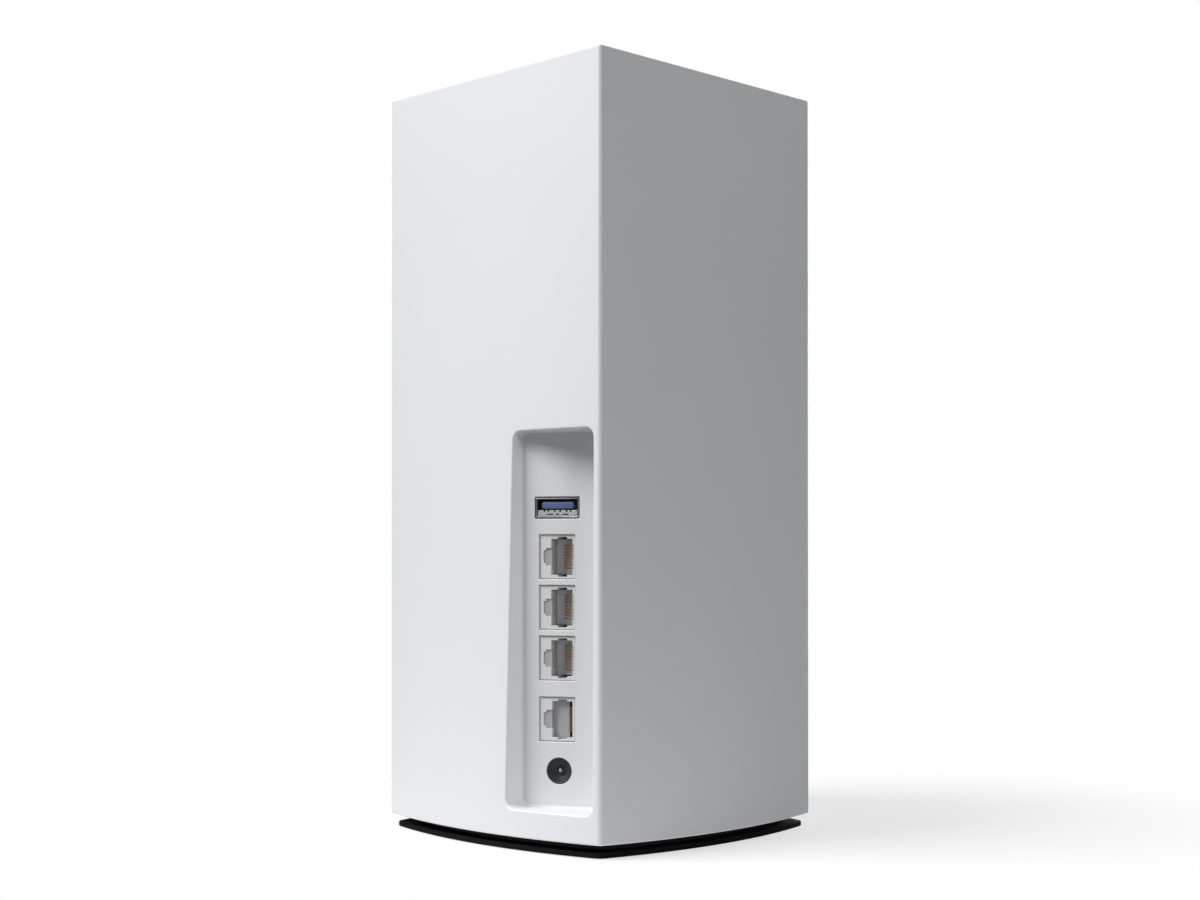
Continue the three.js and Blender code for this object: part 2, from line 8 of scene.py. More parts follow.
import bmesh
import bpy
import numpy as np
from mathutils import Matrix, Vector


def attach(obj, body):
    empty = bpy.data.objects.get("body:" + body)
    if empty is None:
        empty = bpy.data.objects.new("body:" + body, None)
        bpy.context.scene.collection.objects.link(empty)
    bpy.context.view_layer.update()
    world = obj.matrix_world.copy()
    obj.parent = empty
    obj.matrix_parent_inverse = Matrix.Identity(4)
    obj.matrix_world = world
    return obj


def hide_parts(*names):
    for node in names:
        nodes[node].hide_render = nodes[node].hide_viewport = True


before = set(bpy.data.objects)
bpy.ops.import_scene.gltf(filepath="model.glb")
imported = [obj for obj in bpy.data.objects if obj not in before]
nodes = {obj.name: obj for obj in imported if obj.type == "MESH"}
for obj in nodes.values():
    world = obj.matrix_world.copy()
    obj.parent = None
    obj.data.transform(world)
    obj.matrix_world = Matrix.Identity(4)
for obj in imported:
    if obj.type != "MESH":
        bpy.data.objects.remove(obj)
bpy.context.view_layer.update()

# ---- Camera --------------------------------------------------------------------------------------
# A level camera looks along the tower's diagonal at its rear corner from 620 mm away, with the
# lens shifted up so that the upright edges stay parallel.
CAMERA_DISTANCE = 0.620
CAMERA_HEIGHT = 0.0928
CAMERA_TURN = math.radians(225)
LENS_LENGTH = 55.25
LENS_SHIFT = 0.083
SENSOR_WIDTH = 36
camera_data = bpy.data.cameras.new("camera")
camera_data.lens = LENS_LENGTH
camera_data.sensor_width = SENSOR_WIDTH
camera_data.shift_y = LENS_SHIFT
camera = bpy.data.objects.new("camera", camera_data)
camera.location = (
    CAMERA_DISTANCE * math.sin(CAMERA_TURN),
    -CAMERA_DISTANCE * math.cos(CAMERA_TURN),
    CAMERA_HEIGHT,
)
camera.rotation_euler = (math.pi / 2, 0, CAMERA_TURN)
bpy.context.scene.collection.objects.link(camera)
bpy.context.scene.camera = camera

# ---- Studio: floor and light ---------------------------------------------------------------------
# A pale sheet under the tower melts into a white surround. A large soft box stands to the left of the
# camera and a weak one to the right. A third lights the front, a small lamp the underside, and the
# surround gives the rest.


def linear(colour):
    """sRGB hex to linear light: c / 12.92 up to 0.04045, else ((c + 0.055) / 1.055) to the 2.4."""
    channels = [int(colour[i:i + 2], 16) / 255 for i in (1, 3, 5)]
    return tuple(c / 12.92 if c <= 0.04045 else ((c + 0.055) / 1.055) ** 2.4 for c in channels) + (1.0,)


def node(tree, kind, inputs=None, **settings):
    """One shader node: its settings, then its inputs, each a value or the socket that feeds it."""
    made = tree.nodes.new(kind)
    for name, value in settings.items():
        setattr(made, name, value)
    for name, value in (inputs or {}).items():
        if isinstance(value, bpy.types.NodeSocket):
            tree.links.new(value, made.inputs[name])
        else:
            made.inputs[name].default_value = value
    return made


FLOOR_SOLID_RADIUS = 0.08
FLOOR_FADE_RADIUS = 0.27
FLOOR_BOUNCE = "#B0B0B0"
FLOOR_TONE = "#E8E8E8"
FLOOR_GLOW = 0.62
FLOOR_RADIUS = 2
FLOOR_DROP = 0.0002
FLOOR_POINTS = 96


def paper_floor():
    """Matt white paper, clear from beneath and beyond the fade radius."""
    material = bpy.data.materials.new("studio_paper")
    material.use_nodes = True
    tree = material.node_tree
    tree.nodes.clear()
    place = node(tree, "ShaderNodeTexCoord").outputs["Object"]
    away = node(tree, "ShaderNodeVectorMath", {0: place}, operation="LENGTH").outputs["Value"]
    fade = node(tree, "ShaderNodeMapRange", {
        "Value": away, "From Min": FLOOR_SOLID_RADIUS, "From Max": FLOOR_FADE_RADIUS,
    }, interpolation_type="SMOOTHSTEP").outputs["Result"]
    path = node(tree, "ShaderNodeLightPath")
    direct = path.outputs["Is Camera Ray"]
    tone = node(tree, "ShaderNodeMix", {
        "Factor": direct, "A": linear(FLOOR_BOUNCE), "B": linear(FLOOR_TONE)}, data_type="RGBA")
    sheet = node(tree, "ShaderNodeBsdfDiffuse", {"Color": tone.outputs["Result"]}).outputs["BSDF"]
    clear = node(tree, "ShaderNodeBsdfTransparent").outputs["BSDF"]
    glow = node(tree, "ShaderNodeMath", {0: direct, 1: FLOOR_GLOW}, operation="MULTIPLY")
    paper = node(tree, "ShaderNodeMixShader", {
        0: glow.outputs["Value"], 1: sheet, 2: clear}).outputs["Shader"]
    beneath = node(tree, "ShaderNodeNewGeometry").outputs["Backfacing"]
    unseen = node(tree, "ShaderNodeMath", {0: beneath, 1: path.outputs["Is Shadow Ray"]}, operation="MAXIMUM")
    gone = node(tree, "ShaderNodeMath", {0: fade, 1: unseen.outputs["Value"]}, operation="MAXIMUM")
    mixed = node(tree, "ShaderNodeMixShader", {
        0: gone.outputs["Value"], 1: paper, 2: clear}).outputs["Shader"]
    node(tree, "ShaderNodeOutputMaterial", {"Surface": mixed})
    return material


floor_mesh = bpy.data.meshes.new("studio_floor")
turns = np.linspace(0, 2 * np.pi, FLOOR_POINTS, endpoint=False)
rim = np.stack([
    FLOOR_RADIUS * np.cos(turns), FLOOR_RADIUS * np.sin(turns), np.full(FLOOR_POINTS, -FLOOR_DROP)], axis=1)
floor_mesh.from_pydata(rim.tolist(), [], [tuple(range(FLOOR_POINTS))])
floor_mesh.materials.append(paper_floor())
floor = bpy.data.objects.new("studio_floor", floor_mesh)
bpy.context.scene.collection.objects.link(floor)


def soft_box(name, place, target, size, power):
    """A square area light at place that faces target."""
    data = bpy.data.lights.new(name, "AREA")
    data.shape = "SQUARE"
    data.size = size
    data.energy = power
    light = bpy.data.objects.new(name, data)
    light.location = place
    aim = Vector(target) - Vector(place)
    light.rotation_euler = aim.to_track_quat("-Z", "Y").to_euler()
    bpy.context.scene.collection.objects.link(light)


soft_box("key_soft_box", (1.05, 1.90, 2.15), (0, 0, 0.10), 1.6, 119)
soft_box("fill_soft_box", (-1.6, 0.45, 0.8), (0, 0, 0.12), 0.6, 9)
soft_box("front_soft_box", (0.6, -2.0, 0.7), (0, 0, 0.12), 1.2, 27)
soft_box("underside_lamp", (0, 0, -0.45), (0, 0, 0), 0.25, 1.5)

SURROUND_LIGHT = 0.14
world = bpy.data.worlds.new("surround")
world.use_nodes = True
surround = world.node_tree
surround.nodes.clear()
dim = node(surround, "ShaderNodeBackground", {
    "Color": linear("#FFFFFF"), "Strength": SURROUND_LIGHT}).outputs["Background"]
bright = node(surround, "ShaderNodeBackground", {
    "Color": linear("#FFFFFF"), "Strength": 1.0}).outputs["Background"]
seen = node(surround, "ShaderNodeLightPath").outputs["Is Camera Ray"]
both = node(surround, "ShaderNodeMixShader", {0: seen, 1: dim, 2: bright})
node(surround, "ShaderNodeOutputWorld", {"Surface": both.outputs["Shader"]})
bpy.context.scene.world = world
bpy.context.scene.view_settings.view_transform = "Standard"

# ---- Outer shell ---------------------------------------------------------------------------------
# The casing is one moulding in satin white ABS. Each face is ruled between a straight top edge
# and a bowed bottom edge, and the port bay is let into the rear face beside a corner.
MM = 0.001
HEIGHT = 243.8
CHORD = 99.6
LOWER_BULGE = 7.2
CORNER = 1.1
SHELL_BOTTOM = 4.2
WALL = 2.2
EDGE = 0.5
INNER_CORNER = 0.8
BAY_LEFT, BAY_RIGHT, BAY_BOTTOM, BAY_TOP, BAY_CORNER = -47.2, -14.6, 12.8, 129.5, 3.0
BAY_WALL = 1.8
BAY_FILLET = 0.6
SEAT_GAP = 0.03
INNER_GAP = 0.05
# The rim at the top: its broken edge, then the ledge that the vent cover rests on.
RIM_BREAK = 0.2
LEDGE_TOP = HEIGHT - 3.4
LEDGE_UNDERSIDE = HEIGHT - 5.4
LEDGE_WIDTH = 3
PANEL_TURN = math.radians(27)
PANEL_EDGE = (BAY_RIGHT, 49.0)


def arc_steps(count):
    """Angles from 0 to a right angle, both ends included."""
    return np.linspace(0, np.pi / 2, count)


def square_stations(sides, corner_steps):
    """Stations round a square with round corners, anticlockwise seen from above.

    Each is (a, b, nx, ny): its point is (a, b) times the half side less the corner radius, plus
    (nx, ny) times that radius. Side k is the first side turned by k right angles."""
    stations = []
    for k, along_side in enumerate(sides):
        turn = arc_steps(corner_steps + 2)[1:-1]
        ones, none = np.ones_like(along_side), np.zeros_like(along_side)
        flat = np.stack([ones, along_side, ones, none], axis=1)
        round_part = np.stack([np.ones_like(turn), np.ones_like(turn), np.cos(turn), np.sin(turn)], axis=1)
        both_parts = np.concatenate([flat, round_part])
        c, s = round(math.cos(k * math.pi / 2)), round(math.sin(k * math.pi / 2))
        a, b, nx, ny = both_parts.T
        stations.append(np.stack([c * a - s * b, s * a + c * b, c * nx - s * ny, s * nx + c * ny], axis=1))
    return np.concatenate(stations)


def bow_at(z):
    """The bulge falls in a straight line from the lower edge to nothing at the top."""
    return LOWER_BULGE * (HEIGHT - z) / (HEIGHT - SHELL_BOTTOM)


def tower_grid(stations, chord, profile):
    """The square outline, carried through a profile of (inset, corner radius, z) rows.

    A side bows by bow(z) * (1 - (2 s / chord)^2), s being the distance along it from its middle."""
    inset, radius, z = np.array(profile, float).T[:, :, None]
    a, b, nx, ny = stations.T[:, None, :]
    side = chord - 2 * inset
    x = a * (side / 2 - radius) + radius * nx
    y = b * (side / 2 - radius) + radius * ny
    bow = bow_at(z) * side / CHORD
    out_x = np.sign(x) * bow * (1 - (2 * y / side) ** 2)
    out_y = np.sign(y) * bow * (1 - (2 * x / side) ** 2)
    return np.stack([x + out_x, y + out_y, np.broadcast_to(z, x.shape)], axis=-1)


def rear_skin(x, z, inset):
    """Y of the rear face at x and z, measured inset millimetres below its skin."""
    side = CHORD - 2 * inset
    return side / 2 + bow_at(z) * side / CHORD * (1 - (2 * x / side) ** 2)


def patch(points, wrap_rows=False, wrap_columns=False, keep=None):
    """A grid of points (rows, columns, xyz) with a quad between each four neighbours."""
    rows, columns = points.shape[:2]
    row, column = np.meshgrid(
        np.arange(rows if wrap_rows else rows - 1),
        np.arange(columns if wrap_columns else columns - 1), indexing="ij")
    if keep is not None:
        row, column = row[keep], column[keep]
    next_row, next_column = (row + 1) % rows, (column + 1) % columns
    quads = [row * columns + column, row * columns + next_column,
             next_row * columns + next_column, next_row * columns + column]
    return points.reshape(-1, 3), np.stack(quads, axis=-1).reshape(-1, 4)


SHARP_ANGLE = 50
MERGE_DISTANCE = 2e-6


def piece(name, patches, material, replaced, body="root"):
    """Joins patches, given in millimetres, into one closed smooth piece that rides on a body."""
    points, quads, start = [], [], 0
    for patch_points, patch_quads in patches:
        points.append(patch_points)
        quads.append(patch_quads + start)
        start += len(patch_points)
    mesh = bpy.data.meshes.new(name)
    mesh.from_pydata((np.concatenate(points) * MM).tolist(), [], np.concatenate(quads).tolist())
    shape = bmesh.new()
    shape.from_mesh(mesh)
    bmesh.ops.remove_doubles(shape, verts=shape.verts, dist=MERGE_DISTANCE)
    bmesh.ops.dissolve_degenerate(shape, edges=shape.edges, dist=1e-6)
    bmesh.ops.recalc_face_normals(shape, faces=shape.faces)
    shape.to_mesh(mesh)
    shape.free()
    mesh.polygons.foreach_set("use_smooth", np.ones(len(mesh.polygons), bool))
    mesh.set_sharp_from_angle(angle=math.radians(SHARP_ANGLE))
    mesh.materials.append(material)
    made = bpy.data.objects.new(name, mesh)
    bpy.context.scene.collection.objects.link(made)
    made.modifiers.new("weighted_normals", "WEIGHTED_NORMAL").keep_sharp = True
    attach(made, body)
    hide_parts(*replaced)


def rectangle_outline(xs, zs):
    """The points of a rectangle's four sides in turn, at the given x and z levels."""
    bottom = np.stack([xs[:-1], np.full(len(xs) - 1, zs[0])], axis=1)
    right = np.stack([np.full(len(zs) - 1, xs[-1]), zs[:-1]], axis=1)
    top = np.stack([xs[:0:-1], np.full(len(xs) - 1, zs[-1])], axis=1)
    left = np.stack([np.full(len(zs) - 1, xs[0]), zs[:0:-1]], axis=1)
    return np.concatenate([bottom, right, top, left])


def rounded_outline(x0, x1, z0, z1, radius, x_count, z_count, arc=5):
    """A rounded rectangle with as many points on each side as a rectangle_outline has.

    Each side runs from the middle of one corner's arc to the middle of the next one's."""
    def side(length, count):
        turn = np.linspace(np.pi / 4, np.pi / 2, arc + 1)
        rise = np.stack([radius - radius * np.cos(turn), radius - radius * np.sin(turn)], axis=1)
        flat = np.linspace(radius, length - radius, count - 2 * arc + 1)[1:-1]
        level = np.stack([flat, np.zeros_like(flat)], axis=1)
        fall = rise[::-1] * (-1, 1) + (length, 0)
        return np.concatenate([rise, level, fall])[:-1]
    wide, tall = side(x1 - x0, x_count), side(z1 - z0, z_count)
    return np.concatenate([
        np.stack([x0 + wide[:, 0], z0 + wide[:, 1]], axis=1),
        np.stack([x1 - tall[:, 1], z0 + tall[:, 0]], axis=1),
        np.stack([x1 - wide[:, 0], z1 - wide[:, 1]], axis=1),
        np.stack([x0 + tall[:, 1], z1 - tall[:, 0]], axis=1),
    ])


def panel_plane(x, off):
    """Y of a plane parallel to the port panel's face, off millimetres in front of it."""
    return PANEL_EDGE[1] + (off + math.sin(PANEL_TURN) * (x - PANEL_EDGE[0])) / math.cos(PANEL_TURN)


SHADE_DRIFT = 35
GLOSS_SPREAD = 0.06
PLASTIC_IOR = 1.5


def moulded_plastic(name, pale, deep, roughness, grain_mm, relief_mm, specular=0.5):
    """A plastic from a spark-eroded mould: an even grain that breaks up the highlight, drawn a few
    times coarser than the real one so that it shows, and a slight drift in shade over the moulding."""
    material = bpy.data.materials.new(name)
    material.use_nodes = True
    tree = material.node_tree
    shader = tree.nodes["Principled BSDF"]
    place = node(tree, "ShaderNodeTexCoord").outputs["Object"]
    grain = node(tree, "ShaderNodeTexNoise", {
        "Vector": place, "Scale": 1 / (grain_mm * MM), "Detail": 3.0, "Roughness": 0.6}).outputs["Fac"]
    drift = node(tree, "ShaderNodeTexNoise", {
        "Vector": place, "Scale": 1 / (SHADE_DRIFT * MM), "Detail": 2.0}).outputs["Fac"]
    shade = node(tree, "ShaderNodeMix", {
        "Factor": drift, "A": linear(deep), "B": linear(pale)}, data_type="RGBA")
    tree.links.new(shade.outputs["Result"], shader.inputs["Base Color"])
    gloss = node(tree, "ShaderNodeMapRange", {
        "Value": grain, "To Min": roughness - GLOSS_SPREAD, "To Max": roughness + GLOSS_SPREAD})
    tree.links.new(gloss.outputs["Result"], shader.inputs["Roughness"])
    relief = node(tree, "ShaderNodeBump", {"Height": grain, "Distance": relief_mm * MM, "Strength": 0.35})
    tree.links.new(relief.outputs["Normal"], shader.inputs["Normal"])
    shader.inputs["IOR"].default_value = PLASTIC_IOR
    shader.inputs["Specular IOR Level"].default_value = specular
    return material


# Satin white ABS reads as a broad soft sheen with no mirror image in it.
white_abs = moulded_plastic("satin_white_abs", "#DFE0E3", "#DCDDE0", 0.42, 0.45, 0.02)

# The grid's rear face has a finer cell of quads round the bay, which the bay's own rings replace.
BAY_X_STEPS, BAY_Z_STEPS = 28, 64
REAR_POINTS, SIDE_POINTS, CORNER_POINTS = 24, 41, 5
CELL_RIGHT = -8.0
cell_z = np.linspace(9.0, 134.0, BAY_Z_STEPS + 1)
reach = CHORD / 2 - CORNER
rear_plain = np.linspace(-1, -CELL_RIGHT / reach, REAR_POINTS)
rear_cell = np.linspace(-CELL_RIGHT / reach, 1, BAY_X_STEPS + 1)
rear = np.concatenate([rear_plain, rear_cell[1:]])
plain = np.linspace(-1, 1, SIDE_POINTS)
stations = square_stations([plain, rear, plain, plain], CORNER_POINTS)
first_column = SIDE_POINTS + CORNER_POINTS + REAR_POINTS - 1

edge_turn = arc_steps(5)
inner_levels = [LEDGE_UNDERSIDE, 200.0, 168.0, *cell_z[::-1], SHELL_BOTTOM + 1]
profile = (
    [(WALL, INNER_CORNER, SHELL_BOTTOM)]
    + [(EDGE - EDGE * math.sin(t), CORNER - EDGE + EDGE * math.sin(t),
        SHELL_BOTTOM + EDGE - EDGE * math.cos(t)) for t in edge_turn]
    + [(0, CORNER, z) for z in [6.0, *cell_z, 150.0, 180.0, 210.0, 235.0, HEIGHT - 1]]
    + [(EDGE - EDGE * math.cos(t), CORNER - EDGE + EDGE * math.cos(t),
        HEIGHT - EDGE + EDGE * math.sin(t)) for t in edge_turn]
    + [(WALL - RIM_BREAK, INNER_CORNER, HEIGHT), (WALL, INNER_CORNER, HEIGHT - RIM_BREAK),
       (WALL, INNER_CORNER, LEDGE_TOP), (WALL + LEDGE_WIDTH, INNER_CORNER, LEDGE_TOP),
       (WALL + LEDGE_WIDTH, INNER_CORNER, LEDGE_UNDERSIDE)]
    + [(WALL, INNER_CORNER, z) for z in inner_levels]
)
grid = tower_grid(stations, CHORD, profile)
inset_of, _, level_of = np.array(profile).T
slack = 1e-9
above_foot = (level_of >= cell_z[0] - slack) & (level_of < cell_z[-1] - slack)
below_head = (level_of > cell_z[0] + slack) & (level_of <= cell_z[-1] + slack)
outer_rows = np.flatnonzero(above_foot & (inset_of == 0))
inner_rows = np.flatnonzero(below_head & (inset_of == WALL))
keep = np.ones((len(profile), len(stations)), bool)
cell_columns = np.arange(first_column, first_column + BAY_X_STEPS)
keep[np.ix_(outer_rows, cell_columns)] = False
keep[np.ix_(inner_rows, cell_columns)] = False

# The bay's rings: on the skin, round its edge, down its wall, round the fillet, then back inside.
outer_x = -rear_cell * reach
inner_x = -rear_cell * (CHORD / 2 - WALL - INNER_CORNER)
outer_frame = rectangle_outline(outer_x, cell_z)
inner_frame = rectangle_outline(inner_x, cell_z)


def bay_outline(grow, least_x=None):
    """The bay's opening grown by a margin, its points in step with the cell round it.

    least_x, where given, is the smallest x that a point may have."""
    outline = rounded_outline(
        -(BAY_RIGHT + grow), -(BAY_LEFT - grow), BAY_BOTTOM - grow, BAY_TOP + grow, BAY_CORNER + grow,
        BAY_X_STEPS, BAY_Z_STEPS) * (-1, 1)
    if least_x is not None:
        outline[:, 0] = np.maximum(outline[:, 0], least_x)
    return outline


def on_skin(outline, inset=0.0, below=0.0):
    """Points of the rear skin at an outline's x and z, or below it."""
    x, z = outline.T
    return np.stack([x, rear_skin(x, z, inset) - below, z], axis=1)


def on_panel(outline, off):
    """Points off the port panel's face at an outline's x and z."""
    x, z = outline.T
    return np.stack([x, panel_plane(x, off), z], axis=1)


hole = bay_outline(0)
rings = [on_skin(outer_frame * (1 - f) + bay_outline(EDGE) * f) for f in (0, 0.4, 0.8)]
rings += [on_skin(bay_outline(EDGE * (1 - math.sin(t))), below=EDGE * (1 - math.cos(t)))
          for t in edge_turn]
rings += [on_skin(hole, below=EDGE) * 0.5 + on_panel(hole, BAY_FILLET) * 0.5]
rings += [on_panel(bay_outline(-BAY_FILLET * (1 - math.cos(t))), BAY_FILLET * (1 - math.sin(t)) + SEAT_GAP)
          for t in edge_turn]
BACK_LIMIT = BAY_LEFT - 0.25
back = bay_outline(BAY_WALL, BACK_LIMIT)
rings += [on_panel(back, SEAT_GAP), on_skin(back, inset=WALL, below=INNER_GAP)]
rings += [on_skin(inner_frame, inset=WALL)]
piece(
    "outer_shell_moulding",
    [patch(grid, wrap_rows=True, wrap_columns=True, keep=keep), patch(np.array(rings), wrap_columns=True)],
    white_abs, ["outer_shell"])

# ---- Top vent cover ------------------------------------------------------------------------------
# A loose plate of the same white ABS closes the top. It is moulded with rows of round-ended slots
# for warm air and a round hole for the status light.
COVER_TOP = 243.3
COVER_BOTTOM = 240.7
COVER_EDGE = 0.35
SLOT_COLUMNS = [-30, -10, 10, 30]
SLOT_ROWS = 11
SLOT_LENGTH, SLOT_WIDTH = 15, 2.6
CELL_WIDTH, CELL_DEPTH = 20, 7
CELL_STEPS = 9
PIPE_RADIUS = 2.5
PIPE_GAP = 0.3
SLOT_EDGE = 0.3
COVER_CORNER = 1.2
COVER_GAP = 0.6
COVER_REACH = (CHORD - 2 * WALL - COVER_GAP) / 2


def circle_outline(radius, x_count, y_count):
    """A circle with as many points in each quarter as a rectangle_outline has on each side."""
    counts = [x_count, y_count, x_count, y_count]
    turn = np.concatenate([
        np.linspace(0, np.pi / 2, count, endpoint=False) + (k - 1.5) * np.pi / 2
        for k, count in enumerate(counts)])
    return radius * np.stack([np.cos(turn), np.sin(turn)], axis=1)


def at_height(outline, z):
    """A level ring: the outline's two coordinates, and z."""
    return np.column_stack([outline, np.full(len(outline), z)])


def hole_cell(frame_outline, hole_at, low, high, edge):
    """A plate's patch round one hole, from its top face through the hole to its underside.

    hole_at(grow) is the hole's outline grown by a margin, and its upper edge is rounded."""
    hole_rings = [at_height(frame_outline, high)]
    hole_rings += [at_height(hole_at(edge * (1 - math.sin(t))), high - edge * (1 - math.cos(t)))
                   for t in arc_steps(4)]
    hole_rings += [at_height(hole_at(0), low), at_height(frame_outline, low)]
    return patch(np.array(hole_rings), wrap_columns=True)


def slot_at(grow):
    """A slot with round ends, grown by a margin, about the origin."""
    half_length, half_width = SLOT_LENGTH / 2 + grow, SLOT_WIDTH / 2 + grow
    return rounded_outline(-half_length, half_length, -half_width, half_width, half_width,
                           CELL_STEPS, CELL_STEPS, arc=4)


cover_patches = []
cell_outline = rectangle_outline(
    np.linspace(-CELL_WIDTH / 2, CELL_WIDTH / 2, CELL_STEPS + 1),
    np.linspace(-CELL_DEPTH / 2, CELL_DEPTH / 2, CELL_STEPS + 1))
for x in SLOT_COLUMNS:
    for row in range(SLOT_ROWS):
        y = (row - (SLOT_ROWS - 1) / 2) * CELL_DEPTH
        if y == 0 and abs(x) < CELL_WIDTH:
            continue
        points, quads = hole_cell(cell_outline, slot_at, COVER_BOTTOM, COVER_TOP, SLOT_EDGE)
        cover_patches.append((points + (x, y, 0), quads))
wide_outline = rectangle_outline(
    np.linspace(-CELL_WIDTH, CELL_WIDTH, 2 * CELL_STEPS + 1),
    np.linspace(-CELL_DEPTH / 2, CELL_DEPTH / 2, CELL_STEPS + 1))
cover_patches.append(hole_cell(
    wide_outline, lambda grow: circle_outline(PIPE_RADIUS + PIPE_GAP + grow, 2 * CELL_STEPS, CELL_STEPS),
    COVER_BOTTOM, COVER_TOP, SLOT_EDGE))
field_x, field_y = 2 * CELL_WIDTH, SLOT_ROWS * CELL_DEPTH / 2
field_outline = rectangle_outline(
    np.linspace(-field_x, field_x, 4 * CELL_STEPS + 1),
    np.linspace(-field_y, field_y, SLOT_ROWS * CELL_STEPS + 1))


def cover_outline(inset):
    """The plate's own outline, drawn in by a margin."""
    reach = COVER_REACH - inset
    return rounded_outline(-reach, reach, -reach, reach, COVER_CORNER - inset, 4 * CELL_STEPS,
                           SLOT_ROWS * CELL_STEPS, arc=4)


rim_rings = [at_height(field_outline, COVER_TOP)]
rim_rings += [
    at_height(cover_outline(COVER_EDGE * (1 - math.sin(t))), COVER_TOP - COVER_EDGE * (1 - math.cos(t)))
    for t in arc_steps(4)]
rim_rings += [at_height(cover_outline(0), COVER_BOTTOM), at_height(field_outline, COVER_BOTTOM)]
cover_patches.append(patch(np.array(rim_rings), wrap_columns=True))
piece("vent_cover_moulding", cover_patches, white_abs, ["top_vent_cover"])

# ---- Status light pipe ---------------------------------------------------------------------------
# A clear polycarbonate rod, moulded with a collar that holds it under the cover. It carries the
# light from a small lamp on the carrier to the top, where its polished end shows as a clear dot.


def turned(profile, steps=48):
    """A profile of (radius, z) rows carried round the upright axis; a radius of 0 closes an end."""
    radius, z = np.array(profile, float).T
    turn = np.linspace(0, 2 * np.pi, steps, endpoint=False)
    return np.stack([
        radius[:, None] * np.cos(turn),
        radius[:, None] * np.sin(turn),
        np.broadcast_to(z[:, None], (len(z), steps))], axis=-1)


def lower_edge(radius, z, edge):
    """Profile rows that climb round the lower outer corner of a turned part."""
    return [(radius - edge + edge * math.sin(t), z + edge - edge * math.cos(t)) for t in arc_steps(5)]


def upper_edge(radius, z, edge):
    """Profile rows that climb round the upper outer corner of a turned part."""
    return [(radius - edge + edge * math.cos(t), z - edge + edge * math.sin(t)) for t in arc_steps(5)]


# Clear polycarbonate lets most light through and bends it strongly.
clear_pc = bpy.data.materials.new("clear_polycarbonate")
clear_pc.use_nodes = True
clear_tree = clear_pc.node_tree
clear_shader = clear_tree.nodes["Principled BSDF"]
clear_shader.inputs["Base Color"].default_value = linear("#F4F6F8")
clear_shader.inputs["Transmission Weight"].default_value = 0.85
clear_shader.inputs["IOR"].default_value = 1.58
# Flow marks from the gate, a little over half a millimetre apart, bend what shows through it.
FLOW_MARKS = 0.6
flow = node(clear_tree, "ShaderNodeTexNoise", {
    "Vector": node(clear_tree, "ShaderNodeTexCoord").outputs["Object"],
    "Scale": 1 / (FLOW_MARKS * MM)}).outputs["Fac"]
haze = node(clear_tree, "ShaderNodeMapRange", {"Value": flow, "To Min": 0.10, "To Max": 0.24})
clear_tree.links.new(haze.outputs["Result"], clear_shader.inputs["Roughness"])
ripple = node(clear_tree, "ShaderNodeBump", {"Height": flow, "Distance": 0.01 * MM, "Strength": 0.4})
clear_tree.links.new(ripple.outputs["Normal"], clear_shader.inputs["Normal"])

PIPE_BOTTOM = 223.1
COLLAR_RADIUS = 4.2
COLLAR_TOP = COVER_BOTTOM - PIPE_GAP
COLLAR_FOOT = COLLAR_TOP - 1.2
PIPE_EDGE, PIPE_TOP_EDGE = 0.2, 0.3
pipe_profile = (
    [(0, PIPE_BOTTOM), *lower_edge(PIPE_RADIUS, PIPE_BOTTOM, PIPE_EDGE), (PIPE_RADIUS, COLLAR_FOOT)]
    + lower_edge(COLLAR_RADIUS, COLLAR_FOOT, PIPE_EDGE) + upper_edge(COLLAR_RADIUS, COLLAR_TOP, PIPE_EDGE)
    + [(PIPE_RADIUS, COLLAR_TOP), *upper_edge(PIPE_RADIUS, COVER_TOP, PIPE_TOP_EDGE), (0, COVER_TOP)]
)
piece("light_pipe_rod", [patch(turned(pipe_profile), wrap_columns=True)], clear_pc,
      ["status_light_pipe"])

# ---- Port panel ----------------------------------------------------------------------------------
# A flat plate of white ABS stands behind the bay, turned 27 degrees from the rear face. Its cutouts
# are moulded with slightly softened edges.
PORT_AXES = np.array([
    [-math.cos(PANEL_TURN), -math.sin(PANEL_TURN), 0],
    [0, 0, 1],
    [-math.sin(PANEL_TURN), math.cos(PANEL_TURN), 0],
])
ALONG, _, OUT = PORT_AXES


def from_panel(points, place=(0, 0)):
    """Port frame to model: along the panel, up, and out of its face, from a place on the panel."""
    local = points + np.array([place[0], place[1], 0])
    return local @ PORT_AXES + (PANEL_EDGE[0], PANEL_EDGE[1], 0)


BEVEL_ANGLE = 40
FLAT_ANGLE = 0.6


def softened(node_name, name, material, width, body="root"):
    """A merged copy of a CAD node whose corners sharper than BEVEL_ANGLE are rounded by a bevel."""
    mesh = nodes[node_name].data.copy()
    mesh.name = name
    shape = bmesh.new()
    shape.from_mesh(mesh)
    bmesh.ops.remove_doubles(shape, verts=shape.verts, dist=MERGE_DISTANCE)
    bmesh.ops.dissolve_limit(
        shape, angle_limit=math.radians(FLAT_ANGLE), verts=shape.verts, edges=shape.edges)
    shape.to_mesh(mesh)
    shape.free()
    mesh.polygons.foreach_set("use_smooth", np.ones(len(mesh.polygons), bool))
    mesh.materials.clear()
    mesh.materials.append(material)
    made = bpy.data.objects.new(name, mesh)
    bpy.context.scene.collection.objects.link(made)
    bevel = made.modifiers.new("rounded_edges", "BEVEL")
    bevel.width = width * MM
    bevel.segments = 2
    bevel.limit_method = "ANGLE"
    bevel.angle_limit = math.radians(BEVEL_ANGLE)
    made.modifiers.new("weighted_normals", "WEIGHTED_NORMAL").keep_sharp = True
    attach(made, body)
    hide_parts(node_name)


softened("port_panel", "port_panel_plate", white_abs, 0.25)

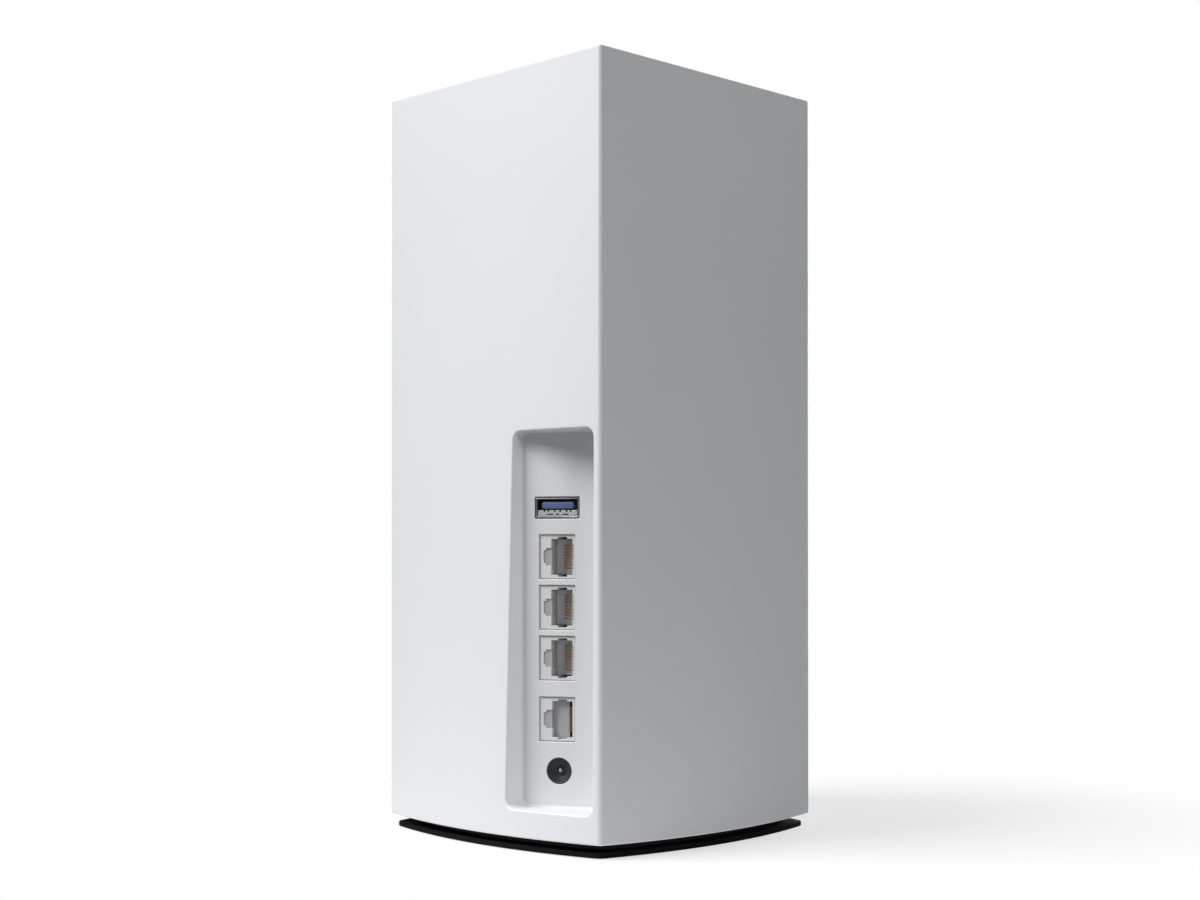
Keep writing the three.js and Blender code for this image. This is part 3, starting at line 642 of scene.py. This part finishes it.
# ---- Network jacks -------------------------------------------------------------------------------
# Three LAN jacks and one WAN jack are moulded in pale PBT. Each mouth is stepped for a plug and its
# latch, and its colour is painted greyer with depth inside: painted shade of the hollow. Shapes here
# and in the next two sections are drawn in the port frame: along the panel, up, and out of its face.
PORT_LINE = 11.5
LAN_HEIGHTS = [90.55, 74.8, 59.05]
WAN_HEIGHT = 40.1
JACK_HEIGHTS = [*LAN_HEIGHTS, WAN_HEIGHT]
# Painted shade: the depths over which a mouth's colour darkens, and how much of it the latch notch gets.
SHADE_FROM, SHADE_TO = -0.9, -1.6
LATCH_LEFT, LATCH_RIGHT = PORT_LINE - 2.6, PORT_LINE - 1.6
LATCH_SHADE = 0.25


def shaded_jack_plastic(name, inside):
    """PBT with a fine even grain, darkened with depth by painted shade: its colour turns to the given grey
    over a span of depths, and only a quarter as far beside the plug space, in the latch notch."""
    material = moulded_plastic(name, "#E2E2E1", "#DADAD9", 0.38, 0.3, 0.01)
    tree = material.node_tree
    shader = tree.nodes["Principled BSDF"]
    outside = shader.inputs["Base Color"].links[0].from_socket
    place = node(tree, "ShaderNodeTexCoord").outputs["Object"]
    edge = node(tree, "ShaderNodeVectorMath", {
        0: place, 1: (PANEL_EDGE[0] * MM, PANEL_EDGE[1] * MM, 0)}, operation="SUBTRACT").outputs["Vector"]
    depth = node(tree, "ShaderNodeVectorMath", {0: edge, 1: tuple(OUT)}, operation="DOT_PRODUCT")
    across = node(tree, "ShaderNodeVectorMath", {0: edge, 1: tuple(ALONG)}, operation="DOT_PRODUCT")
    deep = node(tree, "ShaderNodeMapRange", {
        "Value": depth.outputs["Value"], "From Min": SHADE_FROM * MM, "From Max": SHADE_TO * MM})
    beside = node(tree, "ShaderNodeMapRange", {
        "Value": across.outputs["Value"],
        "From Min": LATCH_LEFT * MM, "From Max": LATCH_RIGHT * MM, "To Min": LATCH_SHADE})
    painted_shade_amount = node(tree, "ShaderNodeMath", {
        0: deep.outputs["Result"], 1: beside.outputs["Result"]}, operation="MULTIPLY")
    shaded_tone = node(tree, "ShaderNodeMix", {
        "Factor": painted_shade_amount.outputs["Value"], "A": outside, "B": linear(inside)}, data_type="RGBA")
    tree.links.new(shaded_tone.outputs["Result"], shader.inputs["Base Color"])
    return material


# Painted shade: the grey each mouth darkens to, darker in the LAN jacks than in the WAN jack.
lan_pbt_shaded = shaded_jack_plastic("pale_pbt_lan_painted_shade", "#B8B9BC")
wan_pbt_shaded = shaded_jack_plastic("pale_pbt_wan_painted_shade", "#C9C9CA")
for i in (1, 2, 3):
    softened(f"lan_jack_{i}", f"lan_jack_{i}_moulding", lan_pbt_shaded, 0.1)
softened("wan_jack", "wan_jack_moulding", wan_pbt_shaded, 0.1)

METAL_CLOUD = 5
METAL_SPREAD = 0.09
METAL_RELIEF = 0.004


def worked_metal(name, pale, deep, roughness, grain_mm, stretch, metallic=1.0):
    """A metal with the fine lines that rolling, drawing or plating leaves; stretch multiplies the
    grain's length along x, y and z."""
    material = bpy.data.materials.new(name)
    material.use_nodes = True
    tree = material.node_tree
    shader = tree.nodes["Principled BSDF"]
    place = node(tree, "ShaderNodeTexCoord").outputs["Object"]
    spread = node(tree, "ShaderNodeMapping", {
        "Vector": place, "Scale": tuple(1 / (grain_mm * MM * s) for s in stretch)}).outputs["Vector"]
    lines = node(tree, "ShaderNodeTexNoise", {
        "Vector": spread, "Scale": 1.0, "Detail": 4.0, "Roughness": 0.65}).outputs["Fac"]
    cloud = node(tree, "ShaderNodeTexNoise", {
        "Vector": place, "Scale": 1 / (METAL_CLOUD * MM)}).outputs["Fac"]
    tint = node(tree, "ShaderNodeMix", {
        "Factor": cloud, "A": linear(deep), "B": linear(pale)}, data_type="RGBA")
    tree.links.new(tint.outputs["Result"], shader.inputs["Base Color"])
    gloss = node(tree, "ShaderNodeMapRange", {
        "Value": lines, "To Min": roughness - METAL_SPREAD, "To Max": roughness + METAL_SPREAD})
    tree.links.new(gloss.outputs["Result"], shader.inputs["Roughness"])
    relief = node(tree, "ShaderNodeBump", {"Height": lines, "Distance": METAL_RELIEF * MM, "Strength": 0.5})
    tree.links.new(relief.outputs["Normal"], shader.inputs["Normal"])
    shader.inputs["Metallic"].default_value = metallic
    return material


# Selective gold over nickel: a warm, slightly uneven film on stamped wire.
gold_plate = worked_metal("gold_plated_contact", "#DDBE92", "#C9A574", 0.42, 0.10, (1, 1, 1))


def boxed(low, high, edge):
    """A block between two corners with rounded edges: rings of a rounded rectangle, lowest first."""
    (x0, y0, z0), (x1, y1, z1) = low, high
    rows = [(edge, z0)]
    rows += [(edge - edge * math.sin(t), z0 + edge - edge * math.cos(t)) for t in arc_steps(4)[1:]]
    rows += [(edge - edge * math.cos(t), z1 - edge + edge * math.sin(t)) for t in arc_steps(4)]
    shells = [at_height(rounded_outline(
        x0 + inset, x1 - inset, y0 + inset, y1 - inset, 2 * edge - inset, 9, 9, arc=4), z)
        for inset, z in rows]
    middle = np.array([(x0 + x1) / 2, (y0 + y1) / 2, 0])
    ends = [np.tile(middle + (0, 0, z), (len(shells[0]), 1)) for z in (z0, z1)]
    return patch(np.array([ends[0], *shells, ends[1]]), wrap_columns=True)


def in_port_frame(shape, place):
    """A patch drawn in the port frame, put at its place on the panel."""
    return from_panel(shape[0], place), shape[1]


def slanted(shape, from_depth, slope):
    """A patch in the port frame, moved along the panel by slope for each millimetre of depth."""
    points, quads = shape
    moved = points.copy()
    moved[:, 0] += slope * np.minimum(points[:, 2] - from_depth, 0)
    return moved, quads


# Each LAN contact is a sprung finger that starts in a slot of the mouth's far side and slants in.
CONTACT_COUNT = 8
CONTACT_PITCH = 1.02
FINGER_HALF_WIDTH = 0.24
SLANT_FROM, SLANT = -1.2, 0.9
finger_ups = [CONTACT_PITCH * (i - (CONTACT_COUNT - 1) / 2) for i in range(CONTACT_COUNT)]
fingers = [boxed((4.45, up - FINGER_HALF_WIDTH, -7.6), (4.8, up + FINGER_HALF_WIDTH, -1.0), 0.08)
           for up in finger_ups]
comb = [slanted(finger, SLANT_FROM, SLANT) for finger in fingers]
for i, height in enumerate(LAN_HEIGHTS):
    piece(f"lan_contacts_{i + 1}_comb", [in_port_frame(shape, (PORT_LINE, height)) for shape in comb],
          gold_plate, [f"lan_contacts_{i + 1}"])

# Inside each LAN mouth the grey contact carrier fills the space behind the fingers.
core_grey = moulded_plastic("grey_pbt_core", "#E4E5E8", "#DADBDE", 0.5, 0.25, 0.01)
core = boxed((-1.95, -5.5, -12.8), (4.8, 5.5, -5.4), 0.15)
piece("lan_jack_cores", [in_port_frame(core, (PORT_LINE, height)) for height in LAN_HEIGHTS],
      core_grey, [])
# The latch notch of every jack ends in a stepped floor just behind its mouth.
floor_grey = moulded_plastic("grey_pbt_floor", "#B2B3B6", "#A9AAAD", 0.5, 0.25, 0.01)
latch_floor = [
    boxed((-4.9, -2.3, -3.6), (-3.5, 2.3, -1.0), 0.03),
    boxed((-3.9, -3.1, -5.8), (-1.95, 3.1, -1.05), 0.03)]
piece("latch_notch_floors",
      [in_port_frame(shape, (PORT_LINE, height)) for height in JACK_HEIGHTS for shape in latch_floor],
      floor_grey, [])

# The WAN jack's contacts lie so close that they read as one coppery strip beside its plug space. A grey
# plate across the rest of the mouth is painted shade: it stands in for the shade of the deep hollow.
STRIP_FOOT, STRIP_PITCH, STRIP_HALF_WIDTH = -3.6, 0.98, 0.43
strip_ups = [STRIP_FOOT + STRIP_PITCH * i for i in range(CONTACT_COUNT)]
strip = [boxed((3.7, up - STRIP_HALF_WIDTH, -9.0), (4.5, up + STRIP_HALF_WIDTH, -1.6), 0.1)
         for up in strip_ups]
bar = boxed((3.2, -4.3, -12.6), (4.6, 4.3, -8.8), 0.15)
# Gold worn thin shows the copper below as a brown cast.
brown_gold = worked_metal("worn_gold_contact", "#A87A52", "#8C6242", 0.42, 0.10, (1, 1, 1))
piece("wan_contacts_strip", [in_port_frame(shape, (PORT_LINE, WAN_HEIGHT)) for shape in [*strip, bar]],
      brown_gold, ["wan_contacts"])
# Painted shade: the grey of the plate that stands in for the shaded hollow of the WAN mouth.
shade_plate_grey = moulded_plastic("painted_shade_plate_grey", "#B2B3B5", "#A9AAAC", 0.5, 0.25, 0.01)
painted_shade_plate = [
    boxed((-1.95, -5.9, -3.4), (3.4, 5.9, -2.4), 0.1),
    boxed((0.0, -6.5, -3.4), (3.2, 6.5, -2.45), 0.1)]
piece("wan_jack_painted_shade_plate", [in_port_frame(shape, (PORT_LINE, WAN_HEIGHT)) for shape in painted_shade_plate],
      shade_plate_grey, [])
# A shallow seat of four bars behind each jack's nose closes the gap round it.
seat = [
    boxed((-6.05, -7.0, -2.0), (-5.5, 7.0, -1.0), 0.1),
    boxed((5.5, -7.0, -2.0), (6.05, 7.0, -1.0), 0.1),
    boxed((-5.6, -7.0, -2.0), (5.6, -6.5, -1.0), 0.1),
    boxed((-5.6, 6.5, -2.0), (5.6, 7.0, -1.0), 0.1)]
# The seats take the WAN jacks' plastic, so they too are darkened with depth by painted shade.
piece("jack_seats",
      [in_port_frame(shape, (PORT_LINE, height)) for height in JACK_HEIGHTS for shape in seat],
      wan_pbt_shaded, [])

# ---- USB socket ----------------------------------------------------------------------------------
# A Type-A receptacle: a shell folded from nickel-plated steel, a blue LCP tongue in its upper half,
# and a grounding leaf with two spring slots in its lower half.
USB_HEIGHT = 105.8
# Nickel over rolled steel: a pale soft mirror, broken by fine lines along the sheet.
nickel = worked_metal("nickel_plated_steel", "#B4B5B7", "#9C9D9F", 0.34, 0.12, (6, 6, 1))
softened("usb_shell", "usb_shell_folded", nickel, 0.18)
# Liquid crystal polymer is matt and dense; the tongue's is the usual blue, the insulator's a blue black.
blue_lcp = moulded_plastic("blue_lcp", "#62709F", "#54628F", 0.40, 0.25, 0.01)
tongue = boxed((-5.3, -0.45, -9.5), (5.3, 1.85, -0.9), 0.45)
piece("usb_tongue_moulding", [in_port_frame(tongue, (PORT_LINE, USB_HEIGHT))],
      blue_lcp, ["usb_tongue"])
black_lcp = moulded_plastic("black_lcp", "#4C4F57", "#43464E", 0.42, 0.25, 0.01)
insulator = boxed((-6.45, -2.45, -13.2), (6.45, 2.45, -3.2), 0.2)
piece("usb_insulator", [in_port_frame(insulator, (PORT_LINE, USB_HEIGHT))],
      black_lcp, [])
# Dull tin is paler and flatter than nickel, so it is drawn only half as metallic.
tin_plate = worked_metal("satin_tin_plate", "#D3D4D6", "#C4C5C8", 0.5, 0.12, (1, 1, 1), metallic=0.55)
# The leaf's top edge is cut into teeth, with a dark notch at each of six contacts.
NOTCHES = (-4.3, -3.0, -0.9, 0.9, 3.0, 4.3)
NOTCH_HALF_WIDTH = 0.3
LEAF_REACH, LEAF_BACK, LEAF_FACE, LEAF_EDGE = 6.4, -0.95, -0.6, 0.03


def leaf_bar(x0, x1, low, high):
    """A bar of the leaf's thickness, between two places along it and two heights."""
    return boxed((x0, low, LEAF_BACK), (x1, high, LEAF_FACE), LEAF_EDGE)


ends = [-LEAF_REACH, *[n + s for n in NOTCHES for s in (-NOTCH_HALF_WIDTH, NOTCH_HALF_WIDTH)], LEAF_REACH]
teeth = [leaf_bar(x0, x1, -1.4, -0.75) for x0, x1 in zip(ends[::2], ends[1::2])]
bands = [leaf_bar(-LEAF_REACH, LEAF_REACH, low, high) for low, high in ((-1.85, -1.3), (-2.55, -2.25))]
posts = [leaf_bar(x0, x1, -2.3, -1.8)
         for x0, x1 in ((-LEAF_REACH, -3.6), (-1.5, -0.6), (0.6, 1.5), (3.6, LEAF_REACH))]
piece("usb_ground_leaf", [in_port_frame(bar, (PORT_LINE, USB_HEIGHT)) for bar in [*teeth, *bands, *posts]],
      tin_plate, [])

# ---- Power inlet ---------------------------------------------------------------------------------
# A round barrel socket in black PBT. Its nose is turned in shallow steps round the bore, with a
# nickel pin on the axis and a leaf spring at the bore's side.
INLET_PLACE = (12.2, 24.1)
# Glass-filled PBT comes out of the mould a dull charcoal, with a grey bloom.
black_pbt = moulded_plastic("black_pbt", "#39393B", "#323234", 0.45, 0.25, 0.015)
NOSE_STEPS = ((1.35, -2.4), (1.95, -2.0), (2.55, -1.6), (3.15, -1.1), (3.6, -0.6))
NOSE_RADIUS = 3.85
nose_profile = [(0, -9.8), (1.3, -9.8)]
for radius, z in NOSE_STEPS:
    nose_profile += [(radius, z - 0.35), (radius + 0.02, z - 0.05), (radius + 0.07, z), (radius + 0.5, z)]
nose_profile += [(NOSE_RADIUS, -0.3), (NOSE_RADIUS, -0.4), (NOSE_RADIUS, -5.0), (3.7, -5.1), (1.5, -10.2),
                 (0, -10.2)]
nose = patch(turned(nose_profile, 72), wrap_columns=True)
inlet_block = boxed((-7.9, -5.2, -15), (4.6, 5.2, -2.3), 0.3)
piece("power_inlet_nose", [in_port_frame(nose, INLET_PLACE)], black_pbt,
      ["power_inlet_housing"])
piece("power_inlet_block", [in_port_frame(inlet_block, INLET_PLACE)], black_pbt, [])
pin_profile = [(0, -9.7), (1.0, -9.7), (1.0, -3.4), (0.7, -2.4)] + upper_edge(0.7, -1.2, 0.5) + [(0, -1.15)]
pin = patch(turned(pin_profile, 32), wrap_columns=True)
piece("power_inlet_pin_turned", [in_port_frame(pin, INLET_PLACE)], nickel, ["power_inlet_pin"])
spring = boxed((-0.8, -2.75, -9.4), (0.8, -2.45, -2.0), 0.1)
piece("power_inlet_leaf", [in_port_frame(spring, INLET_PLACE)], nickel, ["power_inlet_spring"])

# ---- Foot ring -----------------------------------------------------------------------------------
# A ring moulded in black thermoplastic rubber, matt and slightly grippy, is bonded under the tray. It
# stands in from the shell and bows with it.
FOOT_CHORD, WELL_CHORD = 96.4, 80
FOOT_INSET = (CHORD - FOOT_CHORD) / 2
WELL_INSET = (CHORD - WELL_CHORD) / 2
FOOT_HEIGHT = 1.6
FOOT_CORNER, WELL_CORNER = 1.8, 2.0
FOOT_EDGE, WELL_EDGE = 0.25, 0.2
FOOT_CORNER_POINTS = 9
# The rubber is near black and has hardly any highlight.
black_rubber = moulded_plastic("black_rubber", "#0C0C0D", "#080809", 0.80, 0.35, 0.03, specular=0.15)
foot_profile = [
    (FOOT_INSET + FOOT_EDGE * (1 - math.sin(t)), FOOT_CORNER, FOOT_EDGE * (1 - math.cos(t)))
    for t in arc_steps(4)]
foot_profile += [
    (FOOT_INSET + FOOT_EDGE * (1 - math.cos(t)), FOOT_CORNER, FOOT_HEIGHT - FOOT_EDGE * (1 - math.sin(t)))
    for t in arc_steps(4)]
foot_profile += [
    (WELL_INSET - WELL_EDGE, WELL_CORNER + WELL_EDGE, FOOT_HEIGHT),
    (WELL_INSET, WELL_CORNER, FOOT_HEIGHT - WELL_EDGE),
    (WELL_INSET, WELL_CORNER, WELL_EDGE),
    (WELL_INSET - WELL_EDGE, WELL_CORNER + WELL_EDGE, 0)]
foot_stations = square_stations([plain] * 4, FOOT_CORNER_POINTS)
foot_grid = tower_grid(foot_stations, CHORD, foot_profile)
piece("foot_ring_rubber", [patch(foot_grid, wrap_rows=True, wrap_columns=True)], black_rubber,
      ["foot_ring"])

# ---- Base tray and its screws --------------------------------------------------------------------
# The tray that closes the bottom is moulded in black ABS, with slots for cool air. Pan-head screws
# of zinc-plated steel hold it from below, each in a counterbore.
# The tray's grain gives it a dull, even sheen; zinc plate is a cool grey with a soft gloss.
black_abs = moulded_plastic("black_abs", "#1F1F21", "#19191B", 0.48, 0.4, 0.03)
softened("base_tray", "base_tray_moulding", black_abs, 0.2)
zinc = worked_metal("zinc_plated_steel", "#A9ABAE", "#8B8D91", 0.33, 0.35, (1, 1, 1))
HEAD_RADIUS, HEAD_HEIGHT, SHANK_RADIUS = 2.7, 1.1, 1.2
RECESS_HALF_WIDTH, RECESS_REACH, RECESS_DEPTH, RECESS_SLOPE = 0.38, 1.5, 0.75, 0.16
DOME_SHARE, DOME_POWER = 0.45, 2.6


def screw_shape(head_radius, head_height, shank_radius, length, steps=64):
    """A pan-head screw, head down: a dome lowered by a cross recess, a rim, and a shank.

    From its lowest point the dome rises with (r / R) to the power 2.6, to a share of the head's height.
    The recess is a smooth step of the distance from the nearer arm of the cross."""
    radius = head_radius * np.linspace(0, 1, 22)[:, None]
    turn = np.linspace(0, 2 * np.pi, steps, endpoint=False)[None, :]
    x, y = radius * np.cos(turn), radius * np.sin(turn)
    dome = DOME_SHARE * head_height * (radius / head_radius) ** DOME_POWER
    off_arm = np.minimum(np.maximum(np.abs(y) - RECESS_HALF_WIDTH, np.abs(x) - RECESS_REACH),
                         np.maximum(np.abs(x) - RECESS_HALF_WIDTH, np.abs(y) - RECESS_REACH))
    inside = np.clip(0.5 - off_arm / RECESS_SLOPE, 0, 1)
    z = dome + RECESS_DEPTH * inside ** 2 * (3 - 2 * inside)
    head = np.stack([x, y, z], axis=-1)
    rest = turned([(head_radius, head_height), (shank_radius, head_height), (shank_radius, length - 0.6),
                   (0.3 * shank_radius, length), (0, length)], steps)
    return patch(np.concatenate([head, rest]), wrap_columns=True)


SCREW_REACH = 36
SCREW_FACE = 1.9
BASE_SCREW_LENGTH, CHASSIS_SCREW_LENGTH = 7.6, 7.2
screws = [(f"base_screw_{i + 1}", SCREW_REACH * sx, SCREW_REACH * sy, BASE_SCREW_LENGTH)
          for i, (sx, sy) in enumerate([(1, 1), (-1, 1), (-1, -1), (1, -1)])]
for i, depth in enumerate((-48, -78)):
    x, y, _ = from_panel(np.array([[5.0, 0.0, depth]]))[0]
    screws.append((f"chassis_screw_{i + 1}", x, y, CHASSIS_SCREW_LENGTH))
for name, x, y, length in screws:
    points, quads = screw_shape(HEAD_RADIUS, HEAD_HEIGHT, SHANK_RADIUS, length)
    piece(f"{name}_turned", [(points + (x, y, SCREW_FACE), quads)], zinc, [name])

# The board's own screws lie across it, with a taller head and a slimmer shank.
BOARD_SCREW_FACE = 5.7
board_screw = {"head_radius": 2.5, "head_height": 1.4, "shank_radius": 1.15, "length": 6.4}
for i, (up, depth) in enumerate([(26, -88), (26, -58), (204, -88), (204, -14)]):
    points, quads = screw_shape(**board_screw)
    lying = np.stack([BOARD_SCREW_FACE - points[:, 2], up + points[:, 0], depth + points[:, 1]], axis=1)
    piece(f"board_screw_{i + 1}_turned", [(from_panel(lying), quads)], zinc,
          [f"board_screw_{i + 1}"])

# ---- Rating label --------------------------------------------------------------------------------
# A blank matt polyester label is stuck to the tray beside the controls. Its top coat leaves a faint
# grain, too fine to feel.
label_film = moulded_plastic("matt_polyester_label", "#DCDDDE", "#D2D3D5", 0.55, 0.2, 0.004)
softened("rating_label", "rating_label_film", label_film, 0.06)

# ---- Controls under the base ---------------------------------------------------------------------
# A rocker switches the power. A dished button pairs the node and a small one resets it; each has a
# collar inside the tray and a stem to its switch. Both are grey ABS, a little smoother than the tray,
# and stand out from the black round them.
grey_abs = moulded_plastic("grey_abs", "#6A6C70", "#606266", 0.45, 0.35, 0.02)
softened("power_rocker", "power_rocker_key", black_pbt, 0.45, body="power_rocker_body")
softened("power_switch_body", "power_switch_frame", black_abs, 0.2)
softened("rocker_pin", "rocker_pin_turned", zinc, 0.12)
COLLAR_BOTTOM, COLLAR_SHOULDER, STEM_TOP = 4.3, 5.3, 7.0


def button_profile(cap, cap_bottom, collar, stem, dish):
    """A turned button from its dished face up to the end of its stem.

    The face at a share r of its radius lies dish times (1 - r squared) above its rim."""
    face = [(r * (cap - 0.5), cap_bottom + dish * (1 - r ** 2)) for r in (0, 0.25, 0.5, 0.75, 0.95)]
    return (face + lower_edge(cap, cap_bottom, 0.35)
            + [(cap, COLLAR_BOTTOM), *lower_edge(collar, COLLAR_BOTTOM, 0.15)]
            + upper_edge(collar, COLLAR_SHOULDER, 0.15)
            + [(stem, COLLAR_SHOULDER), *upper_edge(stem, STEM_TOP, 0.2), (0, STEM_TOP)])


for name, spot, profile_rows in (
        ("pair_button", (22, 27), button_profile(4.5, 2.0, 5.5, 1.5, 0.35)),
        ("reset_button", (34, 27), button_profile(1.5, 2.6, 2.6, 1.2, 0.15))):
    points, quads = patch(turned(profile_rows, 64), wrap_columns=True)
    piece(f"{name}_cap", [(points + (*spot, 0), quads)], grey_abs, [name],
          body=f"{name}_body")

# ---- Boards, chips and cooling -------------------------------------------------------------------
# Boards are routed FR-4 under a solder mask, and chips are black epoxy. The heat sinks are cut from an
# aluminium extrusion and sit on soft pads, and the carriers are moulded in the buttons' grey ABS.
PAD_PITCH = 3.4
PAD_SHARE = 0.11


def circuit_board(name):
    """FR-4 under green solder mask: the glass cloth below mottles it every 0.6 mm, and tinned pads lie
    where the distance from a scattered grid's points is under a share of the pitch."""
    material = moulded_plastic(name, "#24603F", "#1B4C32", 0.38, 0.6, 0.01)
    tree = material.node_tree
    shader = tree.nodes["Principled BSDF"]
    mask = shader.inputs["Base Color"].links[0].from_socket
    place = node(tree, "ShaderNodeTexCoord").outputs["Object"]
    cells = node(tree, "ShaderNodeTexVoronoi", {
        "Vector": place, "Scale": 1 / (PAD_PITCH * MM), "Randomness": 0.8}, distance="CHEBYCHEV")
    pad = node(tree, "ShaderNodeMath", {
        0: cells.outputs["Distance"], 1: PAD_SHARE}, operation="LESS_THAN")
    tinned = node(tree, "ShaderNodeMix", {
        "Factor": pad.outputs["Value"], "A": mask, "B": linear("#B9BBB8")}, data_type="RGBA")
    tree.links.new(tinned.outputs["Result"], shader.inputs["Base Color"])
    return material


fr4 = circuit_board("green_fr4")
# Epoxy is a flat blue black, the silicone pads a chalky blue, and the extrusion is lined along z.
epoxy = moulded_plastic("black_epoxy", "#2B2C30", "#222327", 0.55, 0.12, 0.01)
silicone_pad = moulded_plastic("filled_silicone_pad", "#93A8B8", "#859BAB", 0.85, 0.4, 0.02, specular=0.25)
extruded = worked_metal("extruded_aluminium", "#B9BCBF", "#A6A9AD", 0.42, 0.15, (1, 1, 30))
# Each material, with the nodes made of it and how far their edges are rounded.
inner_parts = {
    fr4: {"main_board": 0.1, "light_board": 0.1, "switch_board": 0.1, "antenna_1": 0.08, "antenna_2": 0.08,
          "antenna_3": 0.08, "antenna_4": 0.08},
    epoxy: {"processor_chip": 0.12, "radio_chip_1": 0.1, "radio_chip_2": 0.1, "memory_chip": 0.1,
            "filter_capacitor": 0.4, "pair_switch": 0.15, "reset_switch": 0.15},
    silicone_pad: {"processor_pad": 0.15, "radio_pad": 0.15},
    extruded: {"processor_heat_sink": 0.2, "radio_heat_sink": 0.2},
    grey_abs: {"chassis_frame": 0.25, "antenna_carrier": 0.3},
    clear_pc: {"status_light": 0.1},
}
for material, parts in inner_parts.items():
    for node_name, width in parts.items():
        softened(node_name, f"{node_name}_part", material, width)

# ---- Antenna leads -------------------------------------------------------------------------------
# Four thin coaxial leads run from the blade antennas to the board. Each is jacketed in extruded black
# FEP, which is smooth and fairly glossy.
cable_jacket = moulded_plastic("black_cable_jacket", "#1A1A1B", "#141415", 0.35, 0.5, 0.01)
for i in range(4):
    cad = nodes[f"antenna_lead_{i + 1}"]
    cad.data.materials.clear()
    cad.data.materials.append(cable_jacket)
